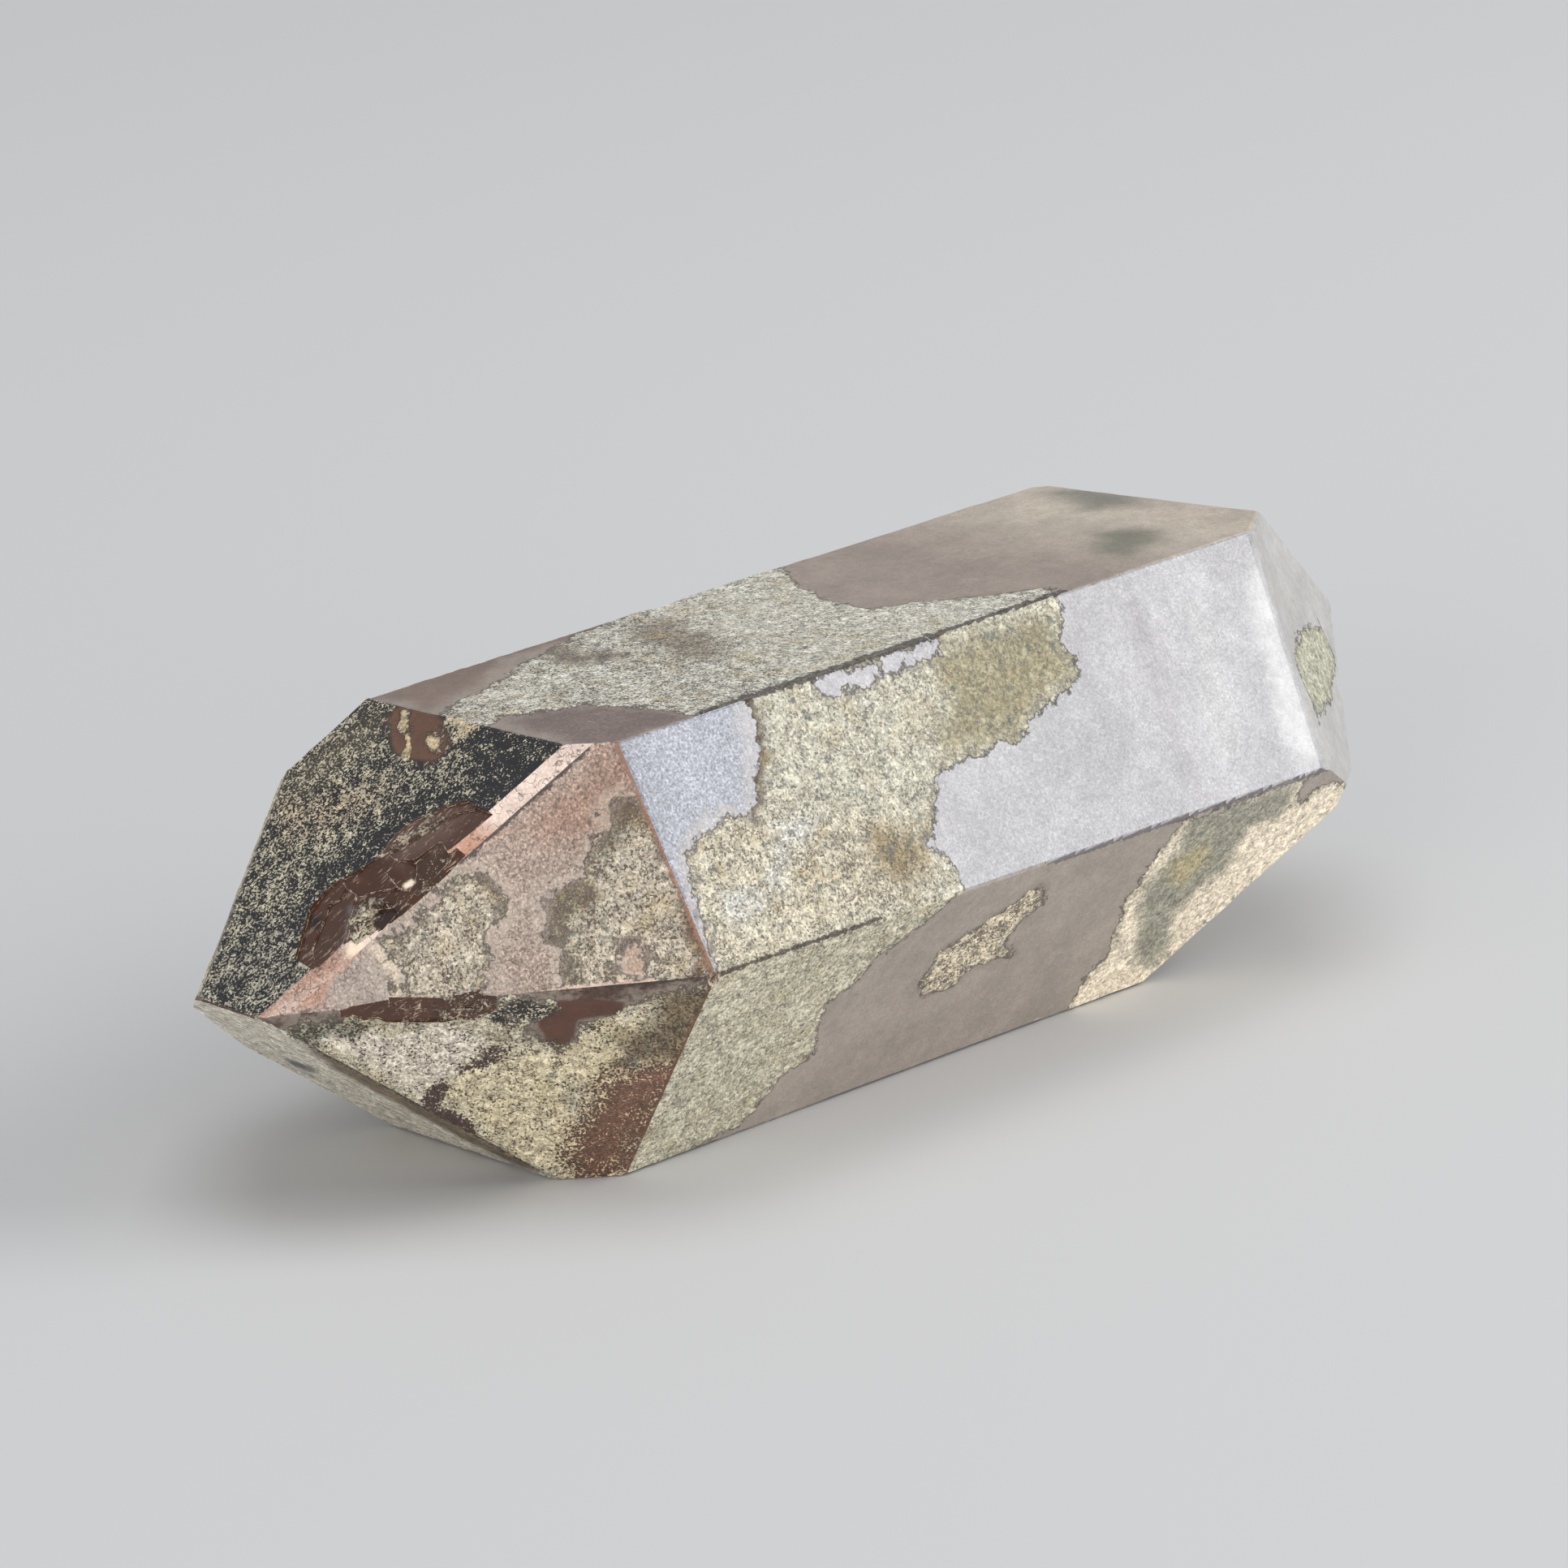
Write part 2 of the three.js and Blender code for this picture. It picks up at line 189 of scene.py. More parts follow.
# How strongly each mark shows where it is strongest.
STRENGTH = dict(
    warm=0.4, white=0.5, crack=0.75, speck=0.6, border=0.3, halo=0.45, gap=0.75, outline=0.6, vein=0.7,
    line=0.85, step=0.65, rim=0.8,
)
QUARTZ_IOR = 1.544
SMOKE_COLOUR = (0.64, 0.44, 0.2, 1)
SMOKE_DENSITY = 180
COAT_ROUGHNESS = 0.8
BARE_ROUGHNESS = 0.4
POLISHED_ROUGHNESS = 0.12
# The relief in the material, in millimetres, and how strongly it is shaded.
COAT_RELIEF = 0.02
GRAIN_RELIEF = 0.07
FROST_RELIEF = 0.012
RELIEF_STRENGTH = 0.8

CREAM = (198, 190, 166)
PINK_CREAM = (224, 214, 198)
YELLOW_CREAM = (220, 208, 176)
OLIVE = (160, 153, 126)
PIT = (76, 64, 50)
HALO = (206, 194, 178)
TEAL = (84, 98, 96)
WARM = (184, 162, 114)
WHITE_FROST = (226, 226, 222)
BORDER = (112, 104, 84)
MAUVE = (184, 168, 155)
LAVENDER = (186, 184, 187)
PINK = (184, 163, 150)
COPPER = (172, 140, 122)
CHOCOLATE = (90, 58, 41)
DARK_LINE = (58, 50, 45)
EDGE_BROWN = (150, 112, 94)
EDGE_BRIGHT = (240, 210, 192)
STEP_LINE = (214, 198, 176)
VEIN = (92, 76, 62)

# What each face has where no patch says otherwise: the colours of bare quartz, grains and lines, the share of
# a coated place that grains cover, how pitted they are, how many dark veins run through, how frosted, clear
# and polished the bare quartz is, and how strong its lines are. coat is how far inside a coat its points
# lie, below nothing for bare. A face that isn't here is plain, with scattered patches of coat.
PLAIN = dict(
    bare=MAUVE, grains=CREAM, line_tone=DARK_LINE, cover=0.93, pits=0.5, veins=0.15, frost=0.3, clear=0.35,
    polish=0, line=0, coat=-3,
)
LOOKS = {
    "top": dict(PLAIN, grains=(212, 209, 195), cover=0.84, pits=0.8),
    "frontUpper": dict(PLAIN, bare=LAVENDER, grains=(202, 198, 180), cover=0.86, pits=0.7, frost=0.45,
                       clear=0.2),
    "frontLower": dict(PLAIN, bare=(196, 184, 172), grains=(212, 206, 183), cover=0.88, pits=0.7),
    "nearTop": dict(PLAIN, bare=(36, 38, 43), grains=(190, 182, 158), cover=0.48, pits=0.1, veins=0, coat=2),
    "nearFrontUpper": dict(PLAIN, bare=PINK, grains=(202, 191, 172), cover=0.84, pits=1, veins=0.9,
                           frost=1, clear=0.15),
    "nearFrontLower": dict(PLAIN, bare=(88, 66, 56), cover=0.72, pits=0.8, veins=0.8, frost=0.8, clear=0.2),
    # This face looks down, and its grains are painted paler than on the other faces: painted light for a face
    # that gets little light.
    "nearBottom": dict(PLAIN, bare=(140, 130, 120), grains=(232, 225, 209), coat=2),
    "farFrontUpper": dict(PLAIN, bare=(204, 202, 198), grains=(186, 185, 164), frost=0.2, clear=0.25),
    "chip": dict(PLAIN, bare=CHOCOLATE, grains=(190, 176, 152), frost=0.1, clear=0.3, veins=0, polish=1),
    "bright": dict(PLAIN, bare=(240, 218, 204), frost=0.35, clear=0.1, veins=1, polish=0.5),
}

# Patches on the faces that show. An outline is in millimetres: along the crystal, and either across it on
# faces that look up or down, or up it on the others.
ACROSS = (0, 1)
HEIGHT = (0, 2)


def patch(outline, coat=0, soft=0.15, **values):
    """A patch adds grains (coat 1) or takes them away (-1), and changes other values over a soft border."""
    return dict(outline=np.array(outline, float), coat=coat, soft=soft, values=values)


PATCHES = {
    "top": (ACROSS, [
        patch([(-16.2, 1.9), (-14.1, 2.5), (-11.7, 3.4), (-9.2, 4.4), (-5.6, 5.4), (-1.8, 6), (4.8, 5.9),
            (3.6, 4), (2.4, 1.1), (2.5, -1.1), (4.1, -2), (5.7, -3.3), (8.5, -4.7), (6, -5.9), (1.3, -6),
            (-4.3, -6), (-8.9, -6.2), (-10.4, -5.6), (-11.1, -3.2), (-11.8, -1.6), (-13.6, -0.8),
            (-14.7, -0.2), (-15.3, -0.4), (-16.3, -0.6)], coat=1),
        patch([(12, 7.5), (21.5, 7.5), (21.5, -7.5), (14, -7.5)], soft=4, bare=(226, 212, 193)),
        patch([(-8, 5.3), (-7, 5.2), (-7.2, 3.5), (-6.6, 2.9), (-6.9, 1.7), (-7.9, 1.9), (-8.9, 2.1),
            (-9, 3.6)], soft=0.5, grains=(148, 138, 124), cover=0.8),
        patch([(-4.2, 4.3), (-2.7, 4.2), (-2.7, 2.8), (-3.5, 0.6), (-5.4, -1.2), (-6.2, 0), (-5.2, 1.9),
            (-5.1, 3)], soft=0.7, grains=(156, 146, 130), cover=0.82),
        patch([(-15.6, 5.5), (-11, 6.5), (-2.2, 6.2), (-3.1, 4.7), (-7, 5.2), (-9.5, 5.5), (-11.6, 4.1),
            (-13.7, 3.4), (-15.4, 2.8)], soft=0.5, bare=(148, 126, 112)),
        patch([(-16.3, 2), (-11.7, 3.6), (-5.6, 5.6), (-1.8, 6.2), (-3, 0), (-6, -6.4), (-10.4, -6.2),
            (-11.8, -1.6), (-16.3, -0.8)], soft=0.9, cover=0.64, pits=1),
        patch([(-14.7, -0.2), (-11.8, -1.6), (-10, -5.5), (-12.1, -5.7), (-14.2, -5.7), (-15.2, -4.9),
            (-15.2, -3.7)], soft=0.5, bare=(146, 126, 117), frost=0.6),
        patch([(14.7, -0.8), (15.9, -1.2), (16.3, -2.6), (15, -3.9), (13.1, -4), (12.8, -2.7)], soft=0.9,
            bare=(152, 148, 130)),
        patch([(18, 4.7), (19.5, 4), (20.1, 2), (18.7, 0.5), (17.1, 1.7)], soft=0.9, bare=(156, 152, 138)),
    ]),
    "frontUpper": (HEIGHT, [
        patch([(-8.1, 16.6), (7.9, 16.8), (7.6, 15.7), (7, 14.6), (7.5, 13.9), (6.7, 13.1), (5.4, 12.8),
            (4.8, 12.9), (3.5, 12.2), (1.2, 12.1), (-0.1, 12.1), (-1, 12), (-1.9, 11.2), (-2.9, 10),
            (-2.4, 9.4), (-2, 7.7), (-14.6, 7.7), (-14, 9.7), (-13.9, 10.8), (-13.5, 11.9), (-12.9, 12.4),
            (-11.9, 12.7), (-10.9, 12.8), (-9.9, 12.5), (-8.8, 14), (-8.3, 15.2)], coat=1),
        patch([(-13, 12.6), (-10.8, 13), (-9, 12.5), (-7.2, 11.9), (-4.5, 11.3), (-2.8, 10.3), (-3.5, 9.1),
            (-5.6, 8.4), (-14.1, 8), (-14.1, 9.7), (-13.8, 11.8)], soft=0.8, pits=1, cover=0.78,
            grains=(204, 196, 174)),
        patch([(-5.5, 10.9), (-4, 10.8), (-3, 10.2), (-3.4, 9.3), (-4.6, 9.1), (-5.8, 9.6)], soft=0.7,
            grains=(160, 146, 118)),
        patch([(-5.2, 16), (-3.7, 15.9), (-2.3, 15.9), (1.3, 15.9), (1.3, 15.5), (-0.7, 15.4), (-1.9, 15.3),
            (-3.3, 15.1), (-4.5, 15.3)], coat=-1),
        patch([(0.7, 15.6), (3.6, 15.7), (7.1, 15.6), (6.8, 14.5), (7.3, 14), (6.5, 13.3), (4.9, 13),
            (3.5, 12.2), (1.5, 12.3), (-0.5, 12.5), (-0.4, 13.3), (0.7, 14.2)], soft=0.7, grains=OLIVE,
            pits=0.4),
        patch([(-8.5, 16.2), (-7.9, 16), (-8, 15), (-8.3, 14.2), (-9.2, 13.1), (-9.8, 12.3), (-10.1, 12.3),
            (-9.3, 13.5), (-8.7, 14.5), (-8.5, 15.3)], soft=0.12, grains=(96, 82, 66), pits=1),
        patch([(-12.8, 10.6), (-11.7, 10.4), (-10.7, 10.2), (-11.1, 9.7), (-11.9, 9.5), (-12.7, 9.9)],
            soft=0.5, grains=(212, 211, 205), pits=0.8),
        patch([(-9.5, 12.1), (-8.9, 12), (-7, 11.8), (-7.2, 11.3), (-8.8, 11.3), (-9.6, 10.7), (-10.1, 10.2),
            (-10.5, 10.6), (-9.9, 11.3)], soft=0.5, grains=(208, 208, 202), pits=0.8),
        patch([(-19, 16.4), (-8.6, 16.4), (-9.9, 12.6), (-12.5, 12.6), (-14.5, 7.9)], soft=0.6,
            bare=(168, 171, 182), frost=0.9),
        patch([(16.9, 14.2), (18, 15.1), (18.9, 15.4), (18.7, 14.3), (17.8, 12.6), (17.2, 10.9), (17, 9.5),
            (17.1, 8.2), (16.1, 8.2), (15.5, 9.7), (15.9, 11.2), (16.6, 12.9), (16.5, 13.8)], soft=0.7,
            bare=(222, 222, 222), frost=0.2),
        patch([(11.2, 15.1), (11.1, 13.6), (10.6, 11.8), (10.4, 10), (10.4, 8.7), (9.9, 8.8), (9.9, 10.2),
            (10.1, 12), (10.6, 13.7), (10.9, 15.2)], soft=0.6, bare=(170, 167, 170)),
        patch([(8, 14.7), (7.5, 13), (7.3, 11.2), (6.6, 9.5), (6.1, 9.6), (6.7, 11.3), (7, 13.1),
            (7.6, 14.8)], soft=0.6, bare=(172, 169, 172)),
        patch([(-1.5, 8), (0, 11.6), (4.8, 12.6), (9, 14), (9.6, 11), (9, 8)], soft=1.8,
            bare=(178, 177, 180)),
        patch([(11.5, 9), (12.2, 11.5), (13.4, 14.5), (15, 15), (14, 11.5), (13.4, 9)], soft=1,
            bare=(196, 195, 196)),
    ]),
    "frontLower": (HEIGHT, [
        patch([(-15.2, 8.8), (-2, 8.9), (-2.9, 8), (-4, 7), (-5.7, 6.5), (-6.4, 5.5), (-7.5, 5), (-6.7, 2.6),
            (-8.2, 2.1), (-8.8, 0.8), (-9.7, 0.3), (-13.7, -0.3), (-15.2, -0.3)], coat=1),
        patch([(-2.4, 4.4), (-2, 5.5), (-0.7, 6.1), (1.3, 6.8), (2.3, 7.1), (2.9, 6.2), (2, 5.6), (1.4, 4.9),
            (2.5, 4.1), (0.4, 4.2), (-0.4, 3.6), (-1.7, 3.6)], coat=1, soft=0.3, cover=0.58, pits=0.3,
            bare=(156, 142, 130), grains=(230, 216, 188)),
        # The coat at the far end of this face: its grains are partly their own pale tone and partly painted
        # light, made almost white to stand in for light that brightens this end.
        patch([(7.5, 1.2), (8.5, 2.2), (8, 4.4), (8.4, 6.2), (9.3, 7.9), (16.2, 8), (15.8, 6.9), (16.4, 6.5),
            (17.5, 7.2), (19.4, 6.7), (19.6, 6), (16.4, 3), (13.2, 0.6), (11.5, -0.6), (7.6, -0.6)], coat=1,
            soft=0.5, grains=(252, 238, 214), cover=1, pits=0.1),
        patch([(8.5, 5.2), (9, 5.5), (9.8, 6.5), (9.4, 8), (15.6, 8), (15.6, 7.4), (15.3, 6.4), (13.9, 6.3),
            (13.6, 5.3), (13.6, 4.4), (12.5, 4.2), (12, 3.7), (11.6, 2.8), (12.1, 1.5), (11.8, 0.7),
            (10.9, 1), (10, 2.1), (9.1, 4)], soft=0.5, grains=(164, 161, 145), cover=0.88),
        patch([(10.3, 5), (9.6, 5.8), (10.2, 6.2), (11.3, 6.2), (12.3, 5.1), (11.5, 5), (11.3, 4.4)],
            soft=0.4, grains=(190, 178, 140)),
    ]),
    "nearTop": (ACROSS, [
        patch([(-18.7, 7), (-17.2, 6), (-15.9, 4.8), (-16.4, 3.9), (-17.4, 3.9), (-18.3, 4.8), (-19.3, 5.4),
            (-19.6, 6.5)], soft=0.8, bare=(84, 76, 62), cover=0.45),
        patch([(-19.9, 6), (-19.4, 5.5), (-18.9, 4.5), (-18.5, 3.5), (-18.1, 2.7), (-18.2, 1.9), (-19.1, 1.8),
            (-19.5, 2.4), (-20.1, 3.3), (-20.6, 4.2), (-20.4, 5.2)], soft=0.8, grains=(196, 178, 150),
            cover=0.5),
        # A painted shadow: a thin band along the scar's upper edge with few grains, so the dark bare quartz
        # shows there as shade.
        patch([(-18.2, -1.5), (-18.6, -0.5), (-19.3, 0.2), (-20, 0.4), (-20.6, 0.3), (-21.1, 0.8),
            (-21.4, 1.3), (-22, 1.5), (-22.6, 1.5), (-23.3, 1.2), (-24, 0.7), (-24.1, 1.5), (-23.3, 2),
            (-22.4, 2.2), (-21.7, 2.1), (-21.1, 2.2), (-20.5, 1.7), (-19.9, 1.5), (-19.6, 0.9), (-18.8, 0.6),
            (-18.3, -0.1), (-17.8, -1)], soft=0.7, cover=0.33),
        patch([(-16.2, 4.1), (-15.8, 4), (-15.6, 2.5), (-15.9, 1.5), (-16.5, 0.4), (-17.2, 0.6), (-17.3, 1.8),
            (-17.2, 2.7), (-16.7, 3.6)], soft=0.1, coat=-1, bare=(112, 80, 62), clear=0.15),
        patch([(-15.9, 3.8), (-15.9, 3.5), (-16.5, 2.8), (-16.9, 2), (-17.3, 1.8), (-17.3, 2.3), (-16.9, 2.5),
            (-16.4, 3.3)], soft=0.08, coat=1, cover=0.9, grains=(206, 184, 146)),
        patch([(-16.4, 1.9), (-16.5, 1.1), (-16.8, 0.8), (-16.9, 1.1), (-16.7, 1.6)], soft=0.08, coat=1,
            cover=0.85, grains=(206, 184, 146)),
        patch([(-15.9, 2.6), (-15.4, 2.4), (-15.3, -0.5), (-15.9, -0.4), (-16.3, 0.3), (-15.8, 1.2)],
            soft=0.2, cover=0.8, grains=(206, 188, 156)),
        patch([(-15.9, 0.2), (-15.5, -0.7), (-15.4, -4.6), (-16.9, -4.2), (-18.1, -3.6), (-18.2, -2.5),
            (-18, -1.6), (-17, -1.6), (-16.6, -0.3)], soft=0.5, cover=0.33),
        patch([(-19.1, -0.1), (-18.2, -1.3), (-17.7, -2.4), (-18.1, -3.9), (-18.6, -3), (-19.2, -1),
            (-20.8, 1)], soft=0.3, cover=0.3),
        patch([(-26.2, 3.9), (-23.4, 3.4), (-22.6, 1.8), (-24, 0.5), (-24.1, -0.6), (-26.2, -0.6)], soft=0.6,
            cover=0.47, grains=(178, 172, 154)),
    ]),
    "nearFrontUpper": (HEIGHT, [
        patch([(-20.2, 11.4), (-19.7, 12), (-19.1, 12), (-18.8, 11.4), (-18.8, 10.8), (-19.3, 10.1),
            (-19.6, 10), (-20.2, 8), (-22.6, 7.8), (-22.2, 9.2), (-22.2, 10), (-20.9, 10.8)], coat=1),
        patch([(-14.8, 14.1), (-14.4, 14), (-14.3, 13.5), (-14.1, 7.9), (-15.1, 8.1), (-17.2, 8.1),
            (-18.3, 8.1), (-18, 9.2), (-18.1, 10), (-17.8, 11), (-17.3, 11.4), (-16.7, 11.6), (-16.1, 12.2),
            (-15.8, 12.9), (-15.4, 13.4)], coat=1),
        patch([(-17.3, 11.6), (-16.6, 11.7), (-16.3, 11), (-16.9, 10.7), (-17.4, 10.3), (-17.7, 9.4),
            (-17.7, 8.4), (-18.3, 8.4), (-18.2, 10), (-17.9, 11)], soft=0.3, grains=(146, 136, 112),
            cover=0.5),
        patch([(-14.8, 14.3), (-14.3, 14), (-14.4, 13.3), (-15.2, 12.9), (-15.6, 12.3), (-16.3, 12.1),
            (-15.9, 13.1), (-15.5, 13.6)], soft=0.3, grains=(140, 130, 106), cover=0.5),
        patch([(-19.9, 12.1), (-18.9, 12.1), (-18.6, 11.2), (-18.8, 10.4), (-19.2, 10.2), (-19.1, 10.9),
            (-19.3, 11.6)], soft=0.25, grains=(160, 146, 122), cover=0.62),
        patch([(-17.6, 8), (-16.4, 8), (-15.4, 8.4), (-15, 9.6), (-15.4, 10.4), (-16.2, 9.8), (-17.2, 9.4)],
            soft=0.4, cover=0.68),
        patch([(-16.5, 9.1), (-16.3, 9.5), (-16, 9.6), (-15.8, 9.4), (-15.8, 9), (-16.1, 8.5), (-16.4, 8.4),
            (-16.6, 8.7)], coat=-1, soft=0.1, bare=(186, 152, 130)),
        patch([(-24.2, 8.2), (-23.8, 8.9), (-22.9, 9.6), (-22.4, 9.7), (-22.3, 9.2), (-22.5, 8.3),
            (-22.8, 7.9), (-23.8, 8)], soft=0.12, bare=(186, 170, 158), frost=0.7),
        patch([(-26, 7.8), (-22.6, 10.2), (-22.9, 9.6), (-23.8, 8.9), (-24.3, 8.1)], soft=0.1,
            bare=(196, 156, 136), frost=0.5, polish=0.5),
        patch([(-15.2, 7.9), (-14.7, 9), (-14.6, 10.4), (-14.2, 10.4), (-14.2, 7.9)], soft=0.25,
            grains=(126, 100, 80), bare=(126, 98, 80)),
        patch([(-22.6, 9.75), (-22.3, 9.85), (-22.05, 9.2), (-22.15, 8.3), (-22.5, 7.8), (-22.8, 7.8),
            (-22.45, 8.35), (-22.35, 9.1)], coat=-1, bare=(232, 214, 188), frost=0.6),
        patch([(-18, 13.2), (-14.2, 15.9), (-14, 13), (-16, 12.6)], soft=0.8, bare=COPPER),
    ]),
    "nearFrontLower": (HEIGHT, [
        patch([(-26.5, 8.4), (-22.5, 7.9), (-20, 7.9), (-18.9, 7), (-18.3, 6.1), (-17.5, 5.9), (-17.4, 6.8),
            (-16.2, 7.6), (-14, 8.2), (-13.6, 0), (-15, -0.4), (-17.4, -0.2), (-19, 1.2), (-26.5, 7)],
            coat=1),
        patch([(-24.1, 6.9), (-23.5, 7.5), (-22.5, 6.6), (-21.3, 7), (-20.2, 6.8), (-19.7, 6), (-20.1, 5.5),
            (-20.3, 4.8), (-20.8, 4.4), (-20.9, 3.8), (-22, 4.7), (-22.7, 5.6), (-23.8, 6.2)], soft=0.3,
            grains=PINK_CREAM, pits=0.4, bare=(86, 62, 58)),
        patch([(-20.3, 4.4), (-19.8, 5.4), (-18.8, 5.6), (-17.9, 5.5), (-17.4, 6.1), (-16.9, 6.9), (-16, 7.1),
            (-15.5, 6), (-15.9, 4.9), (-16.3, 4), (-17.2, 4), (-16.9, 2.7), (-16.5, 2), (-16.4, 0.6),
            (-17.1, 0.6), (-18.4, 1.7), (-19.5, 3), (-20.2, 3.6)], soft=0.3, grains=YELLOW_CREAM, pits=0.7,
            bare=(98, 80, 62)),
        patch([(-21, 3.8), (-20.7, 4.5), (-20.3, 4.4), (-20.3, 3.5), (-19.6, 3.2), (-18.9, 2.1), (-19.2, 1.9),
            (-20.4, 3.1)], soft=0.2, cover=0.3, pits=0.2, bare=(82, 58, 58)),
        patch([(-19.9, 5.9), (-19.2, 6), (-18.9, 5.4), (-19.5, 5), (-20.2, 4.9)], soft=0.3, cover=0.42,
            pits=0.2, bare=(78, 58, 60)),
        patch([(-18.8, 7.5), (-18.3, 7.7), (-17.2, 7.6), (-16.5, 7.4), (-16.6, 7), (-17.5, 6.8), (-17.5, 5.9),
            (-18, 5.8), (-18.5, 6.6)], coat=-1, soft=0.12, bare=(96, 62, 48), frost=0.2),
        patch([(-26.4, 7.6), (-24.7, 8.2), (-23.4, 8.1), (-24.1, 7.6), (-24.9, 7.2), (-25.4, 6.9)], coat=-1,
            bare=(70, 44, 34)),
        patch([(-25.2, 7.4), (-24, 7.8), (-23.4, 7.5), (-22.8, 7.2), (-23.3, 6.6), (-24, 7), (-24.2, 6),
            (-25, 6.8)], soft=0.25, grains=(150, 148, 130), cover=0.55, bare=(66, 62, 52)),
        patch([(-20.1, 7.8), (-19.3, 8), (-18.4, 7.7), (-18.1, 7.1), (-18.8, 6.8), (-19.9, 7)], coat=1,
            cover=0.42, pits=0, bare=(46, 42, 42)),
        patch([(-15.9, 4.5), (-15.2, 5), (-14.4, 4.8), (-14.2, 3.3), (-14.4, 2.1), (-14.6, 0.3), (-15.8, 0.1),
            (-16.3, 1.2), (-16.3, 1.9), (-16.2, 3.5)], soft=0.9, bare=(124, 90, 74), cover=0.3, pits=0,
            grains=(212, 184, 146)),
        patch([(-16.4, 6), (-15.5, 6.4), (-15.4, 7.7), (-14.2, 8), (-14.2, 5), (-15.3, 4.7), (-15.9, 4.6)],
            soft=0.4, grains=(128, 114, 90), bare=(84, 66, 50), cover=0.6),
    ]),
    "nearBottom": (ACROSS, [
        patch([(-21.3, 4.8), (-21.3, 3.4), (-20.5, 4.2), (-20.4, 5.5)], soft=0.3, grains=(110, 114, 116)),
        patch([(-26, -1), (-22.8, 0.8), (-21.4, 0.8), (-20.4, 0.2), (-18.9, -0.2), (-16.8, -1.6), (-16.8, -4),
            (-26, -2.5)], soft=0.6, grains=(126, 112, 94), pits=0.9),
    ]),
    "farFrontUpper": (HEIGHT, [
        patch([(20.6, 11.7), (23.2, 11.1), (23.6, 9.8), (21, 9.2), (18.1, 9.4), (18, 10.2), (18.3, 11),
            (19.1, 11.6)], coat=1, soft=0.8, cover=0.97, pits=0.2),
    ]),
    "chip": (ACROSS, [
        patch([(-21.8, -0.3), (-21.3, -1), (-21.1, -1.5), (-21.3, -1.5), (-21.6, -1.1), (-21.8, -0.9),
            (-22, -1), (-22.2, -1.3), (-22.3, -1.8), (-22.4, -2.2), (-22.7, -1.8), (-23, -1.6), (-23.2, -1.2),
            (-22.8, -0.9), (-22.5, -0.8), (-22.3, -0.4), (-22, -0.5)], coat=1, soft=0.1, cover=0.62,
            grains=(206, 196, 172)),
        patch([(-22, 0), (-21.8, -0.3), (-22, -0.5), (-22.3, -0.4), (-22.8, -0.9), (-23.2, -0.9),
            (-23.3, -0.9), (-22.8, -0.7)], bare=(128, 110, 112)),
        patch([(-20.2, -1.4), (-19.4, -1.9), (-20.1, -2.7), (-20.7, -3.2), (-20.8, -2.6), (-20.6, -2)],
            coat=1, soft=0.2, cover=0.36, grains=(186, 166, 148)),
        patch([(-19.9, 0.1), (-18.8, -0.8), (-18.4, -1.7), (-18.9, -1.2), (-20, -0.3)], coat=1, soft=0.3,
            cover=0.42, grains=(172, 152, 132)),
        patch([(-22.5, 1.5), (-22.5, 1.2), (-22.6, 0.8), (-22.9, 0.6), (-22.9, 1)], bare=(42, 28, 24)),
        # A painted glint: a tiny facet in the scar painted near white, bare and not see-through, where light
        # catches it.
        patch([(-20.75, -1.45), (-20.45, -1.6), (-20.5, -1.85), (-20.8, -1.65)], coat=-1, soft=0.05,
            bare=(255, 240, 214), clear=0),
        patch([(-20.2, 0.2), (-18.6, -0.6), (-18, -2.2), (-19.2, -1.9), (-20.3, -1)], soft=0.5,
            bare=(122, 94, 80)),
        patch([(-21.8, -0.9), (-21.3, -1.7), (-21.3, -2.7), (-22, -2.4), (-22.3, -2.1), (-22.2, -1.5)],
            soft=0.2, bare=(62, 42, 36)),
        patch([(-21.5, -3.4), (-20.3, -4.7), (-19.9, -4.4), (-20.4, -3.9), (-21.2, -3.3)], coat=1, soft=0.2,
            cover=0.34, grains=(190, 166, 150)),
        patch([(-20.7, -3.85), (-20.2, -4.3), (-19.7, -5), (-20, -5.1), (-20.6, -4.4), (-20.9, -4)], coat=1,
            cover=0.42, grains=(200, 176, 160)),
    ]),
    "bright": (HEIGHT, [
        patch([(-20.6, 10.6), (-20.6, 12.4), (-18.7, 13.9), (-18.2, 12.6)], soft=0.6, bare=(206, 160, 136)),
        patch([(-26.5, 7), (-22.9, 9.6), (-23.3, 10.2), (-26.5, 8.6)], soft=0.4, bare=(176, 138, 120),
            frost=0.7),
        # A painted glint: a small facet of the worn edge painted its brightest.
        patch([(-23.3, 9.5), (-23, 10), (-22.6, 10.1), (-22.7, 9.6)], soft=0.1, bare=(255, 232, 206),
            frost=0.1, veins=0),
    ]),
}

